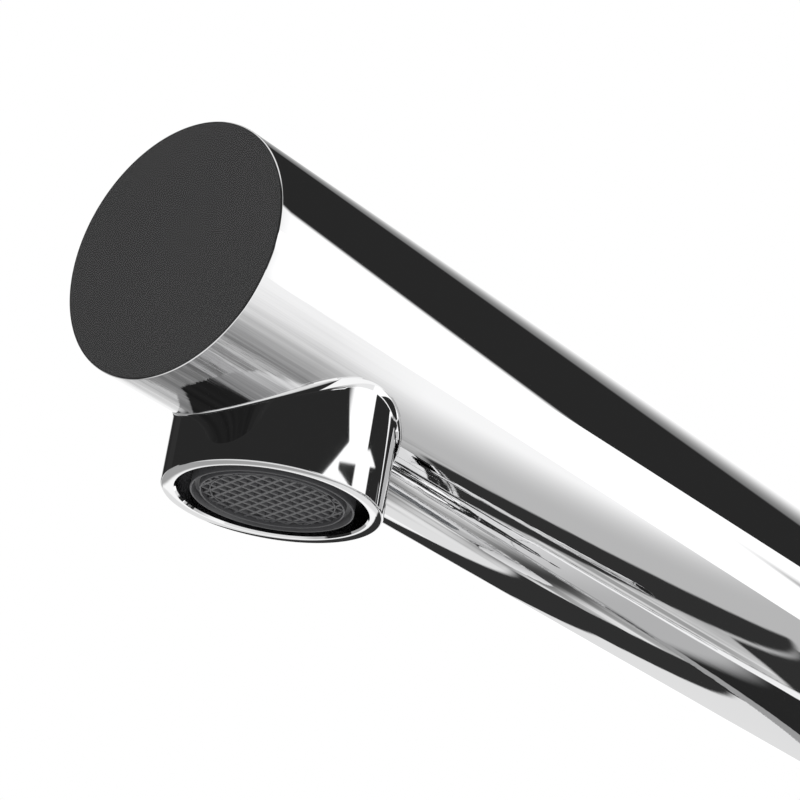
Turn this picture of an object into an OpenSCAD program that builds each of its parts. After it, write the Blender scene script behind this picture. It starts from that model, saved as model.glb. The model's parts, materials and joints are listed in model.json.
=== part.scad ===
// Freestanding tub filler with a single-lever mixer, a diverter and a stick hand shower.
// Origin on the floor at the column's axis, +Z up, spout towards -Y, lever on +X, hand shower on -X.

/* [Column] */
// Height of the spout's axis above the floor
spout_height = 850; // [800:10:900]
// Outer diameter of the column
column_d = 50; // [49:0.5:54]
// Wall of the column's tube
column_wall = 1.5; // [1.2:0.1:1.8]
// Wall of the head above the mixer
head_wall = 2; // [1.5:0.1:2.5]
// Height of the head's top above the spout's axis
head_rise = 27; // [25:1:40]
// Thickness of the head's cap
cap_t = 3; // [2:0.5:5]

/* [Spout] */
// Outer diameter of the spout's tube
spout_d = 40; // [39:0.5:42]
// Wall of the spout's tube
spout_wall = 1.5; // [1.2:0.1:1.8]
// Distance from the column's axis to the centre of the outlet
spout_reach = 200; // [160:5:240]
// Distance from the centre of the outlet to the end face
tip_overhang = 28.9; // [24:0.1:40]
// Thickness of the end plate
end_plate_t = 2; // [1.5:0.5:4]
// Outer diameter of the outlet boss
outlet_d = 32.6; // [31:0.2:34]
// Drop of the outlet's rim below the underside of the spout
outlet_drop = 7.5; // [6:0.5:12]
// Bore of the outlet's rim
outlet_bore_d = 28.2; // [27:0.2:29]
// Depth of the bore round the aerator
outlet_recess = 5; // [3:0.5:6]
// Radius of the blend between boss and tube, under the tube's lowest line
blend_low_r = 0.8; // [0.6:0.1:1.5]
// Radius of the blend between boss and tube, at the tube's sides
blend_side_r = 4.6; // [2:0.1:5]

/* [Aerator] */
// Outer diameter of the aerator's housing
aerator_d = 24.1; // [23:0.1:24.8]
// Diameter of the screen
screen_d = 19; // [17:0.2:19.4]
// Pitch of the screen's square mesh
mesh_pitch = 1.82; // [1.5:0.02:2.2]
// Width of the screen's bars
mesh_bar = 0.6; // [0.4:0.05:0.8]
// Turn of the mesh against the spout's axis, in degrees
mesh_turn = 16; // [0:1:45]
// Thickness of the screen
screen_t = 1; // [0.6:0.1:1.5]

/* [Base] */
// Margin of the floor cover round the flange
cover_margin = 13; // [9:0.5:25]
// Height of the floor cover
cover_h = 20; // [19:0.5:26]
// Wall of the floor cover
cover_wall = 2; // [1.5:0.1:3]
// Margin of the floor flange round the bolt circle
flange_margin = 12; // [10:0.5:16]
// Thickness of the floor flange
flange_t = 8; // [6:0.5:9]
// Pitch circle of the floor bolts
bolt_circle_d = 96; // [90:1:100]
// Diameter of the floor bolts' holes
bolt_hole_d = 9; // [7:0.5:11]
// Number of floor bolts
bolt_count = 4; // [3:1:6]
// Height of the spigot that holds the column
spigot_h = 30; // [24:1:40]
// Wall of that spigot
spigot_wall = 3; // [2.5:0.1:3.4]

/* [Supply] */
// Thread diameter of the two inlets
inlet_d = 16.66; // [16:0.02:17.2]
// Length of the inlets' thread
inlet_length = 10; // [8:0.5:12]
// Distance between the two inlets
inlet_spacing = 21; // [20.5:0.1:21.5]
// Outer diameter of the supply tubes
supply_tube_d = 12; // [10:0.5:12.4]
// Wall of the supply tubes
supply_tube_wall = 1; // [0.8:0.1:1.5]

/* [Mixer body] */
// Height of the mixer body
body_h = 115; // [112:1:125]
// Top of the mixer body below the spout's axis
body_drop = 140; // [100:5:180]
// Lever's axis below the top of the body
lever_drop = 75; // [71:1:79]
// Diverter's axis below the top of the body
diverter_drop = 30; // [27:1:33]
// Hose outlet's axis below the top of the body
hose_drop = 100; // [98:1:103]
// Diameter of the side stub and of the handle's sleeve
stub_d = 44; // [43:0.5:48]
// Length of the side stub beyond the column
stub_out = 13; // [12:0.5:16]

/* [Cartridge] */
// Diameter of the ceramic cartridge
cartridge_d = 35; // [34.4:0.1:35.6]
// Depth of the cartridge's cavity below the stub's end
cavity_depth = 28; // [27.6:0.1:29]
// Diameter of the fixed ceramic disc
disc_d = 24; // [23:0.2:24.4]
// Thickness of the fixed ceramic disc
disc_t = 3; // [2.6:0.1:3.2]
// Diameter of the pivot pin
pivot_d = 3; // [2.5:0.1:3.4]
// Diameter of the cartridge's stem
stem_d = 7; // [6:0.1:7.4]

/* [Handle] */
// Diameter of the lever
lever_d = 8; // [7:0.5:9]
// Length of the lever outside its sleeve
lever_length = 78; // [60:1:90]
// Wall of the sleeve
sleeve_wall = 2; // [1.5:0.1:2.4]
// Lift of the lever from shut to full flow, in degrees
lever_lift = 18; // [14:1:18]

/* [Diverter] */
// Diameter of the diverter knob
knob_d = 30; // [28:0.5:33]
// Height of the diverter knob
knob_h = 24; // [22:0.5:28]
// Diameter of the knob's pointer pin
pointer_d = 5; // [4:0.5:6]
// Length of the pointer pin outside the knob
pointer_length = 15; // [10:1:18]

/* [Hose outlet] */
// Thread diameter of the hose outlet and of the hand shower's inlet
hose_thread_d = 20.96; // [20.5:0.02:21.4]
// Length of those threads
hose_thread_length = 14; // [12:0.5:18]
// Distance from the column's axis to the hose outlet's axis
hose_reach = 45; // [42:1:50]

/* [Holder] */
// Holder's axis below the foot of the mixer body
holder_drop = 65; // [60:1:90]
// Distance from the column's axis to the hand shower's axis
holder_reach = 62; // [60:0.5:70]
// Diameter of the holder's arm
arm_d = 16; // [14:0.5:18]
// Outer diameter of the cradle
cradle_d = 34; // [33:0.5:36]
// Height of the cradle
cradle_h = 28; // [24:1:32]
// Width of the cradle's slot for the hose
cradle_slot_w = 16; // [14:0.5:17]

/* [Hand shower] */
// Diameter of the hand shower
handset_d = 25; // [24:0.5:26]
// Wall of the hand shower
handset_wall = 2; // [1.6:0.1:2.4]
// Length of the hand shower without its thread
handset_length = 200; // [180:5:230]
// Length of its cone
cone_length = 40; // [36:1:44]
// Diameter of the cone's lower end
cone_end_d = 21.8; // [21.6:0.1:22.4]
// Width of the spray plate
spray_w = 11; // [10:0.2:12]
// Height of the spray plate
spray_h = 54; // [44:1:64]
// Diameter of a nozzle at its root
nozzle_d = 1.8; // [1.4:0.1:2]
// Distance between nozzles
nozzle_pitch = 4.2; // [3.4:0.1:5]

/* [Hidden] */
$fn = 72;

// Overrun of every cut
cut = 1;
// Radial gap of a seated round fit, of a running fit, and between a seat and a piece that leaves it
seat_gap = 0.05;
run_gap = 0.08;
free_gap = 0.3;
// Gap that shows between two polished pieces that turn against each other
shadow_gap = 0.6;
// Corner radius of polished edges, and of the spout's end face
edge_r = 0.5;
face_edge_r = 0.25;

// Heights, from the spout's axis down to the mixer body and on to the holder
head_top = spout_height + head_rise;
body_top = spout_height - body_drop;
body_bottom = body_top - body_h;
stub_z = body_top - lever_drop;
diverter_z = body_top - diverter_drop;
hose_z = body_top - hose_drop;
holder_z = body_bottom - holder_drop;

// Column, spigots and supply tubes
column_r = column_d / 2;
column_bore_r = column_r - column_wall;
spigot_r = column_bore_r - seat_gap;
flange_d = bolt_circle_d + 2 * flange_margin;
cover_d = flange_d + 2 * cover_margin;
head_bore_r = column_r - head_wall;
head_spigot_r = head_bore_r - seat_gap;
head_spigot_h = 12;
set_screw_r = 2.5;
set_screw_count = 3;
set_screw_z = flange_t + (cover_h - cover_wall - flange_t) / 2;
cover_corner_r = 3;
seal_r = 0.9;
inlet_r = inlet_d / 2;
inlet_floor_gap = 2;
inlet_hex_r = 9.2;
inlet_hex_h = 6;
inlet_socket_h = 12;
inlet_top = inlet_floor_gap + inlet_length + inlet_hex_h + inlet_socket_h;
inlet_y = inlet_spacing / 2;
supply_r = supply_tube_d / 2;
socket_wall = 1.8;
socket_depth = 10;
channel_r = 3.5;

// Cartridge, along the stub from the column's axis outwards
stub_r = stub_d / 2;
stub_end = column_r + stub_out;
cavity_floor = stub_end - cavity_depth;
cart_r = cartridge_d / 2;
base_t = 3;
disc_r = disc_d / 2;
disc_z = cavity_floor + base_t;
film = 0.1;
moving_z = disc_z + disc_t + film;
moving_t = 6;
moving_r = 9;
moving_flat = 8;
housing_bore_r = disc_r + free_gap;
carrier_z = moving_z + moving_t + film;
carrier_t = 10.8;
pivot_rise = 5.8;
pivot_z = carrier_z + pivot_rise;
ball_r = 2;
ball_arm = 7.5;
ball_z = pivot_z - ball_arm;
ball_neck_share = 0.7;
stem_foot_share = 0.55;
stem_r = stem_d / 2;
shoulder_z = stub_end - 8 / 28 * cavity_depth;
nut_r = 19 / 22 * stub_r;
neck_r = 15 / 19 * nut_r;
neck_wall_share = 0.63;
guide_h = 3.5;
neck_top = stub_end + guide_h;
port_r = 2.6;
port_low = 4;
port_side = 8.5;
port_high = 8;
port_seal_r = 3.7;
port_seal_t = 0.7;

// Handle: sleeve, hub and lever
sleeve_r = stub_r;
sleeve_bore_r = sleeve_r - sleeve_wall;
guide_r = sleeve_bore_r - run_gap;
hub_arm = 24;
hub_r = 6.5;
hub_h = 12;
hub_z = pivot_z + hub_arm;
lever_r = lever_d / 2;
lever_step = 1.05;
lever_foot_r = lever_r - lever_step;
lever_gap = 0.6;
swing_z = pivot_z + hub_arm * cos(lever_lift)
  + (sleeve_r + hub_arm * sin(lever_lift)) * tan(lever_lift);
slot_near = hub_z - lever_r - lever_gap;
slot_far = swing_z + lever_r / cos(lever_lift) + lever_gap;
sleeve_end_t = 3;
sleeve_end = slot_far + sleeve_end_t + sleeve_wall;
grub_r = 1.75;

// Diverter, from the column's axis to the front
knob_r = knob_d / 2;
pad_out = 3;
pad_end = column_r + pad_out;
housing_r = 8;
housing_z = 6;
rotor_r = 7;
rotor_back = -8;
rotor_socket = 4;
spindle_r = 3;
hex_r = 11;
hex_t = 4;
knob_wall = 3;
knob_start = pad_end + shadow_gap;
knob_end = knob_start + knob_h;
knob_boss_r = 6;
knob_grub_share = 0.65;
pointer_share = 0.5;
knob_grub_z = knob_start + knob_grub_share * knob_h;
spindle_inset = 1.2;
spindle_end = knob_end - knob_wall - spindle_inset;
pointer_r = pointer_d / 2;
pointer_z = knob_start + pointer_share * knob_h;

// Hose outlet, at the back
hose_r = hose_thread_d / 2;
elbow_r = 11;
elbow_pad_out = 2;
elbow_pad_end = column_r + elbow_pad_out;
elbow_plug_r = 8;
elbow_plug_l = 10;
elbow_bore_r = 5.5;
elbow_leg = 14;
cage_r = 7.5;
cage_h = 12;
cage_wall = 1.2;
seat_t = 1.6;
poppet_r = 4.9;
poppet_t = 1.5;
poppet_stem_r = 1.2;
poppet_travel = 2.5;
cage_inset = 1;
cage_top_z = hose_z - elbow_leg - hose_thread_length + cage_h + cage_inset;
hose_channel = [-6, 17.5];

// Spout and its waterway
spout_r = spout_d / 2;
spout_bore_r = spout_r - spout_wall;
spout_end = spout_reach + tip_overhang;
spout_root = 14;
outlet_r = outlet_d / 2;
rim_z = spout_r + outlet_drop;
boss_top_z = 11 / 20 * spout_r;
aerator_r = aerator_d / 2;
insert_rise = 2.5;
thread_top_z = boss_top_z + insert_rise;
feed_r = 7;
feed_wall = 1;
feed_socket = 8;
elbow_body_r = 11;
elbow_arm_r = 9;
elbow_arm_l = 30;
elbow_drop = 18;
elbow_rise = 12;
adapter_r = 12;
adapter_bore_r = 9;
adapter_rise = 11;
adapter_roof = 3;
adapter_arm = 20;
insert_recess = 0.15;
screen_recess = 0.35;
screen_r = screen_d / 2;
lip_t = 0.55;
groove_w = 0.55;
groove_depth = 0.5;
gasket_t = 1;
jet_count = 12;
jet_r = 1;
jet_circle_share = 0.72;
blend_steps = 60;
blend_arc_steps = 5;
blend_sink = 0.06;
blend_root = 0.8;

// Holder and cradle, from the column's axis to the left
arm_r = arm_d / 2;
arm_end = 42 / 62 * holder_reach;
screw_r = 3;
screw_head_r = 5;
screw_head_t = 3.5;
washer_t = 1;
pin_screw_r = 2.5;
pin_head_r = 3.8;
pin_head_t = 2.2;
screw_meet_share = 0.45;
cradle_r = cradle_d / 2;

// Hand shower, hanging point at the lower end of its cone
handset_r = handset_d / 2;
cone_end_r = cone_end_d / 2;
cone_z = holder_z - cone_length / 2;
handset_top = cone_z + handset_length;
handset_cap_t = 3;
handset_bore_r = handset_r - handset_wall;
nipple_plug_r = 8;
nipple_plug_h = 14;
nipple_bore_r = 5;
spray_margin = 8;
spray_z = handset_top - handset_cap_t - spray_margin - spray_h / 2;
spray_sink = 1.5;
spray_face = handset_r - spray_sink;
spray_t = 3;
mat_t = 0.8;
nozzle_out = 1.2;
nozzle_columns = 3;
nozzle_side_share = 0.29;
nozzle_side = nozzle_side_share * spray_w;
nozzle_tip_share = 0.75;

// Radius of the hand shower's cone at a height above its lower end
function cone_r(h) = cone_end_r + (handset_r - cone_end_r) * h / cone_length;

// Places: each puts its own +Z along the named direction
module at_stub() translate([0, 0, stub_z]) rotate([0, 90, 0]) rotate([0, 0, 180]) children();
module at_front(z) translate([0, 0, z]) rotate([90, 0, 0]) children();
module at_back(z) translate([0, 0, z]) rotate([-90, 0, 0]) children();
module at_left(z) translate([0, 0, z]) rotate([0, -90, 0]) children();
module at_outlet() translate([0, -spout_reach, spout_height]) children();
module at_handset() translate([-holder_reach, 0, 0]) children();
module lift(z) translate([0, 0, z]) children();

// A rod between two heights, and a ring between two heights
module rod(r, from, to) lift(from) cylinder(r = r, h = to - from);
module ring(r_out, r_in, from, to) {
  difference() {
    rod(r_out, from, to);
    rod(r_in, from - cut, to + cut);
  }
}

// A rod with rounded outer edges at both ends
module soft_rod(r, from, to, e) {
  rotate_extrude()
    intersection() {
      union() {
        translate([0, from + e]) square([r, to - from - 2 * e]);
        translate([0, from]) square([r - e, to - from]);
        translate([r - e, from + e]) circle(r = e);
        translate([r - e, to - e]) circle(r = e);
      }
      translate([0, from]) square([r, to - from]);
    }
}

// An oblong bar along +Z: a slab with round ends
module oblong(w, h, from, to) {
  for (s = [-1, 1]) translate([0, s * (h - w) / 2, from]) cylinder(r = w / 2, h = to - from);
  translate([-w / 2, -(h - w) / 2, from]) cube([w, h - w, to - from]);
}

// A small O-ring round the Z axis
module o_ring(r, t) rotate_extrude() translate([r, 0]) circle(r = t, $fn = 24);

// Base

module floor_flange() color("silver") {
  difference() {
    union() {
      rod(flange_d / 2, 0, flange_t);
      rod(spigot_r, 0, flange_t + spigot_h);
    }
    rod(spigot_r - spigot_wall, -cut, flange_t + spigot_h + cut);
    for (i = [0:bolt_count - 1])
      rotate([0, 0, (i + 0.5) * 360 / bolt_count])
        translate([bolt_circle_d / 2, 0, 0]) rod(bolt_hole_d / 2, -cut, flange_t + cut);
    set_screw_holes();
  }
}

module set_screw_places() {
  for (i = [0:set_screw_count - 1])
    rotate([0, 0, i * 360 / set_screw_count + 90]) lift(set_screw_z) rotate([0, 90, 0]) children();
}

module set_screw_holes() set_screw_places() rod(set_screw_r + seat_gap, column_r / 2, column_r + cut);

module column_set_screws() color("dimgray") {
  set_screw_places() difference() {
    rod(set_screw_r, spigot_r - spigot_wall, column_r);
    lift(column_r - set_screw_r) cylinder(r = set_screw_r / 2, h = set_screw_r + cut, $fn = 6);
  }
}

module floor_cover() color("gainsboro") {
  rotate_extrude()
    difference() {
      union() {
        square([cover_d / 2 - cover_corner_r, cover_h]);
        square([cover_d / 2, cover_h - cover_corner_r]);
        translate([cover_d / 2 - cover_corner_r, cover_h - cover_corner_r]) circle(r = cover_corner_r);
      }
      translate([0, -cut]) square([cover_d / 2 - cover_wall, cover_h - cover_wall + cut]);
      translate([0, -cut]) square([column_r + 2 * seat_gap, cover_h + 2 * cut]);
      translate([-cover_d, -cut]) square([cover_d, cover_h + 2 * cut]);
    }
}

module cover_seal() color("black")
  lift(cover_h - cover_wall - seal_r) o_ring(column_r + seal_r, seal_r);

module column_tube() color("gainsboro") {
  difference() {
    ring(column_r, column_bore_r, flange_t, body_bottom);
    set_screw_holes();
    at_left(holder_z) rod(screw_r + 2 * seat_gap, column_r / 2, column_r + cut);
  }
}

// Supply

module inlet_union() {
  thread_top = inlet_floor_gap + inlet_length;
  difference() {
    union() {
      rod(inlet_r, inlet_floor_gap, thread_top);
      lift(thread_top) cylinder(r = inlet_hex_r, h = inlet_hex_h, $fn = 6);
      rod(supply_r + socket_wall, thread_top + inlet_hex_h, inlet_top);
    }
    rod(supply_r - supply_tube_wall, inlet_floor_gap - cut, inlet_top + cut);
    rod(supply_r + seat_gap, inlet_top - socket_depth, inlet_top + cut);
  }
}

module supply_tube()
  ring(supply_r, supply_r - supply_tube_wall, inlet_top - socket_depth, supply_top);

supply_top = body_bottom - spigot_h + socket_depth;

module hot_inlet_union() color("goldenrod") translate([0, inlet_y, 0]) inlet_union();
module cold_inlet_union() color("goldenrod") translate([0, -inlet_y, 0]) inlet_union();
module hot_supply_tube() color("peru") translate([0, inlet_y, 0]) supply_tube();
module cold_supply_tube() color("peru") translate([0, -inlet_y, 0]) supply_tube();

// O-rings in the mouths of the two tube sockets
module supply_seals() color("black") {
  for (s = [-1, 1]) translate([0, s * inlet_y, supply_top - socket_depth + seal_r])
    o_ring(supply_r + seal_r, seal_r - seat_gap);
}

// Mixer body

module mixer_body() color("gainsboro") {
  difference() {
    union() {
      rod(column_r, body_bottom, body_top);
      rod(spigot_r, body_bottom - spigot_h, body_bottom);
      rod(head_spigot_r, body_top, body_top + head_spigot_h);
      at_stub() rod(stub_r, 0, stub_end);
      at_front(diverter_z) rod(knob_r, 0, pad_end);
      at_back(hose_z) rod(elbow_r, 0, elbow_pad_end);
    }
    supply_cuts();
    cartridge_cuts();
    diverter_cuts();
    hose_cuts();
  }
}

// Sockets and channels of hot and cold water, up to the cartridge's floor
module supply_cuts() {
  foot = body_bottom - spigot_h;
  for (s = [-1, 1]) {
    translate([0, s * inlet_y, 0]) {
      rod(supply_r + seat_gap, foot - cut, supply_top);
      rod(supply_r + 2 * seal_r, foot - cut, foot + 2 * seal_r);
      rod(channel_r, foot, stub_z - port_low);
    }
    at_stub() translate([-port_low, s * port_side, 0]) rod(channel_r, 0, cavity_floor + cut);
  }
}

// Cavity of the cartridge, its nut's thread and the channel of mixed water
module cartridge_cuts() {
  at_stub() {
    rod(cart_r + seat_gap, cavity_floor, stub_end + cut);
    rod(nut_r + seat_gap, shoulder_z, stub_end + cut);
    translate([port_high, 0, 0]) rod(channel_r, -channel_r, cavity_floor + cut);
  }
  rod(channel_r, stub_z + port_high, diverter_z);
}

// Bores of the diverter and the channel on to the spout
module diverter_cuts() {
  at_front(diverter_z) {
    rod(housing_r + seat_gap, housing_z, pad_end + cut);
    rod(rotor_r + run_gap, rotor_back, housing_z + cut);
  }
  rod(channel_r, diverter_z, body_top + head_spigot_h + cut);
  rod(feed_r + seat_gap, body_top + head_spigot_h - feed_socket, body_top + head_spigot_h + cut);
}

// Channel from the diverter down to the hose outlet
module hose_cuts() {
  translate([hose_channel[0], hose_channel[1], 0]) rod(channel_r, hose_z, diverter_z);
  at_back(diverter_z) translate([hose_channel[0] / 2, 0, 0]) rod(channel_r, 0, hose_channel[1]);
  at_back(hose_z) rod(elbow_plug_r + seat_gap, elbow_pad_end - elbow_plug_l, elbow_pad_end + cut);
}

// Cartridge

module port_places() {
  translate([port_high, 0, 0]) children();
  for (s = [-1, 1]) translate([-port_low, s * port_side, 0]) children();
}

module cartridge_base() color("whitesmoke") {
  at_stub() difference() {
    rod(cart_r, cavity_floor, disc_z);
    port_places() rod(port_r, cavity_floor - cut, disc_z + cut);
    port_places() rod(port_seal_r + port_seal_t + seat_gap, cavity_floor - cut,
      cavity_floor + 2 * port_seal_t);
  }
}

module cartridge_seals() color("black")
  at_stub() port_places() lift(cavity_floor + port_seal_t) o_ring(port_seal_r, port_seal_t);

module fixed_disc() color("white") {
  at_stub() difference() {
    rod(disc_r, disc_z, disc_z + disc_t);
    port_places() rod(port_r, disc_z - cut, disc_z + disc_t + cut);
  }
}

// Upper disc: two flats guide it in the carrier, a pocket takes the stem's ball
module moving_disc() color("white") {
  at_stub() difference() {
    intersection() {
      rod(moving_r, moving_z, moving_z + moving_t);
      translate([-moving_r, -moving_flat, moving_z]) cube([2 * moving_r, 2 * moving_flat, moving_t]);
    }
    rod(ball_r + 3 * seat_gap, ball_z - ball_r - cut / 2, moving_z + moving_t + cut);
    rod(moving_r / 2, moving_z - cut, moving_z + film);
  }
}

// The carrier turns with the handle, and holds the disc's flats and the pivot pin
module cartridge_carrier() color("lightgray") {
  slot_w = 2 * (stem_r + 4 * seat_gap);
  slot_l = 2 * (stem_r / cos(lever_lift) + (carrier_t - pivot_rise + cut) * tan(lever_lift));
  at_stub() difference() {
    rod(disc_r, moving_z + film, carrier_z + carrier_t);
    translate([-disc_r - cut, -moving_flat - film, moving_z])
      cube([2 * (disc_r + cut), 2 * (moving_flat + film), carrier_z - moving_z]);
    translate([-slot_l / 2, -slot_w / 2, moving_z]) cube([slot_l, slot_w, carrier_t * 2]);
    lift(pivot_z) rotate([90, 0, 0]) rod(pivot_d / 2 + seat_gap / 2, -disc_r - cut, disc_r + cut);
  }
}

module pivot_pin() color("silver")
  at_stub() lift(pivot_z) rotate([90, 0, 0]) rod(pivot_d / 2, seat_gap - disc_r, disc_r - seat_gap);

// Stem: a ball below drives the disc, the pin crosses it, the hub sits on its end
module cartridge_stem() color("silver") {
  at_stub() difference() {
    union() {
      lift(ball_z) sphere(r = ball_r);
      rod(ball_neck_share * ball_r, ball_z, pivot_z);
      rod(stem_r, pivot_z - stem_foot_share * ball_arm, hub_z + hub_h / 2 - cut);
    }
    lift(pivot_z) rotate([90, 0, 0]) rod(pivot_d / 2 + seat_gap, -stem_r - cut, stem_r + cut);
  }
}

module cartridge_housing() color("whitesmoke") {
  roof = carrier_z + carrier_t + film;
  at_stub() difference() {
    union() {
      rod(cart_r, disc_z, shoulder_z);
      rod(neck_r, disc_z, neck_top);
    }
    rod(housing_bore_r, disc_z - cut, roof);
    rod(neck_wall_share * neck_r, disc_z, neck_top + cut);
  }
}

module cartridge_nut() color("goldenrod") {
  at_stub() difference() {
    ring(nut_r, neck_r + seat_gap, shoulder_z, stub_end);
    for (a = [0:90:270]) rotate([0, 0, a])
      translate([neck_r, -sleeve_wall, stub_end - sleeve_wall])
        cube([nut_r, 2 * sleeve_wall, sleeve_wall + cut]);
  }
}

// Handle

module sleeve_guide_ring() color("dimgray")
  at_stub() ring(guide_r, neck_r + seat_gap, stub_end, neck_top);

// Sleeve with a closed end, a slot for the lever's swing and a key hole opposite
module handle_sleeve() color("gainsboro") {
  at_stub() difference() {
    soft_rod(sleeve_r, stub_end + shadow_gap, sleeve_end, edge_r);
    rod(sleeve_bore_r, stub_end, sleeve_end - sleeve_end_t);
    lift((slot_near + slot_far) / 2) rotate([0, 90, 0]) rotate([0, 0, 90])
      oblong(lever_d + 2 * lever_gap, slot_far - slot_near, 0, sleeve_r + cut);
    lift(hub_z) rotate([0, -90, 0]) rod(grub_r, 0, sleeve_r + cut);
  }
}

module lever_hub() color("silver") {
  at_stub() difference() {
    rod(hub_r, hub_z - hub_h / 2, hub_z + hub_h / 2);
    rod(stem_r + seat_gap, hub_z - hub_h, hub_z + hub_h / 2 - cut);
    lift(hub_z) rotate([0, 90, 0]) {
      rod(lever_foot_r + seat_gap, 0, hub_r + cut);
      rod(grub_r + seat_gap, -hub_r - cut, 0);
    }
  }
}

module lever() color("gainsboro") {
  tip = sleeve_r + lever_length;
  at_stub() lift(hub_z) rotate([0, 90, 0]) {
    rod(lever_foot_r, stem_r + 2 * seat_gap, hub_r);
    soft_rod(lever_r, hub_r, tip, edge_r);
  }
}

module lever_set_screw() color("dimgray") {
  at_stub() lift(hub_z) rotate([0, -90, 0]) difference() {
    rod(grub_r, stem_r, hub_r - seat_gap);
    lift(hub_r - grub_r) cylinder(r = grub_r / 2, h = grub_r + cut, $fn = 6);
  }
}

// Diverter

module diverter_housing() color("goldenrod") {
  at_front(diverter_z) difference() {
    union() {
      rod(housing_r, housing_z, pad_end);
      lift(pad_end) cylinder(r = hex_r, h = hex_t, $fn = 6);
    }
    rod(spindle_r + run_gap, housing_z - cut, pad_end + hex_t + cut);
    rod(spindle_r + 2 * seal_r + seat_gap, pad_end + hex_t - 2 * seal_r, pad_end + hex_t + cut);
  }
}

module diverter_seal() color("black")
  at_front(diverter_z) lift(pad_end + hex_t - seal_r) o_ring(spindle_r + seal_r + run_gap, seal_r - seat_gap);

module diverter_rotor() color("whitesmoke") {
  at_front(diverter_z) difference() {
    rod(rotor_r, rotor_back + film, housing_z - film);
    rod(spindle_r + seat_gap, housing_z - rotor_socket, housing_z);
    lift((rotor_back + housing_z - rotor_socket) / 2) rotate([90, 0, 0])
      rod(channel_r, -rotor_r - cut, rotor_r + cut);
  }
}

module diverter_stem() color("silver")
  at_front(diverter_z) rod(spindle_r, housing_z - rotor_socket, spindle_end);

module diverter_knob() color("gainsboro") {
  at_front(diverter_z) difference() {
    union() {
      difference() {
        soft_rod(knob_r, knob_start, knob_end, edge_r);
        rod(knob_r - knob_wall, knob_start - cut, knob_end - knob_wall);
      }
      rod(knob_boss_r, pad_end + hex_t + 2 * shadow_gap, knob_end - knob_wall);
    }
    rod(spindle_r + seat_gap, pad_end, spindle_end);
    lift(pointer_z) rotate([-90, 0, 0]) rod(pointer_r + seat_gap, knob_boss_r, knob_r + cut);
    lift(knob_grub_z) rotate([90, 0, 0]) rod(grub_r + seat_gap, 0, knob_r + cut);
  }
}

module knob_set_screw() color("dimgray") {
  at_front(diverter_z) lift(knob_grub_z) rotate([90, 0, 0]) difference() {
    rod(grub_r, spindle_r, knob_boss_r);
    lift(knob_boss_r - grub_r) cylinder(r = grub_r / 2, h = grub_r + cut, $fn = 6);
  }
}

module diverter_pointer() color("gainsboro")
  at_front(diverter_z) lift(pointer_z) rotate([-90, 0, 0])
    soft_rod(pointer_r, knob_r - knob_wall, knob_r + pointer_length, edge_r);

// Hose outlet

module hose_outlet_elbow() color("gainsboro") {
  foot = -elbow_leg - hose_thread_length;
  difference() {
    union() {
      at_back(hose_z) {
        rod(elbow_plug_r, elbow_pad_end - elbow_plug_l, elbow_pad_end);
        rod(elbow_r, elbow_pad_end, hose_reach);
      }
      translate([0, hose_reach, hose_z]) {
        sphere(r = elbow_r);
        rod(elbow_r, -elbow_leg, 0);
        rod(hose_r, foot, -elbow_leg);
      }
    }
    at_back(hose_z) rod(elbow_bore_r, elbow_pad_end - elbow_plug_l - cut, hose_reach);
    translate([0, hose_reach, hose_z]) {
      sphere(r = elbow_bore_r);
      rod(elbow_bore_r, foot - cut, 0);
      rod(cage_r + seat_gap, foot - cut, foot + cage_h + cage_inset);
    }
  }
}

module at_hose_valve() translate([0, hose_reach, cage_top_z]) children();

// Check valve of the hose outlet: a seat above, a guide on three spokes below
module hose_valve_cage() color("whitesmoke") {
  spoke = 2 * poppet_stem_r;
  at_hose_valve() difference() {
    union() {
      ring(cage_r, cage_r - cage_wall, -cage_h, 0);
      ring(cage_r, poppet_r - cage_wall, -seat_t, 0);
      rod(2 * poppet_stem_r, -cage_h, seat_t - cage_h);
      for (a = [0:120:240]) rotate([0, 0, a])
        translate([0, -spoke / 2, -cage_h]) cube([cage_r - cage_wall / 2, spoke, seat_t]);
    }
    rod(poppet_stem_r + seat_gap, -cage_h - cut, seat_t - cage_h + cut);
  }
}

module hose_valve_poppet() color("dimgray") {
  at_hose_valve() {
    rod(poppet_r, -seat_t - film - poppet_t, -seat_t - film);
    rod(poppet_stem_r, seat_t / 2 - cage_h, -seat_t - film);
  }
}

// Head

module head_shell() color("gainsboro") {
  difference() {
    ring(column_r, head_bore_r, body_top, head_top);
    at_front(spout_height) rod(spout_r + seat_gap, 0, column_r + cut);
  }
}

module head_cap() color("gainsboro") {
  soft_rod(column_r, head_top, head_top + cap_t, edge_r);
  rod(head_bore_r - seat_gap, head_top - cap_t, head_top + edge_r);
}

module feed_tube() color("peru") {
  ring(feed_r, feed_r - feed_wall, body_top + head_spigot_h - feed_socket,
    spout_height - elbow_drop + feed_socket);
}

module waterway_elbow() color("goldenrod") {
  difference() {
    union() {
      rod(elbow_body_r, spout_height - elbow_drop, spout_height + elbow_rise);
      at_front(spout_height) rod(elbow_arm_r, 0, elbow_arm_l);
    }
    rod(feed_r + seat_gap, spout_height - elbow_drop - cut, spout_height - elbow_drop + feed_socket);
    rod(feed_r - feed_wall, spout_height - elbow_drop, spout_height);
    at_front(spout_height) {
      rod(feed_r - feed_wall, 0, elbow_arm_l);
      rod(feed_r + seat_gap, elbow_arm_l - feed_socket, elbow_arm_l + cut);
    }
  }
}

// Spout: tube and outlet boss in one piece, with a blend that grows towards the tube's sides

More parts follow.
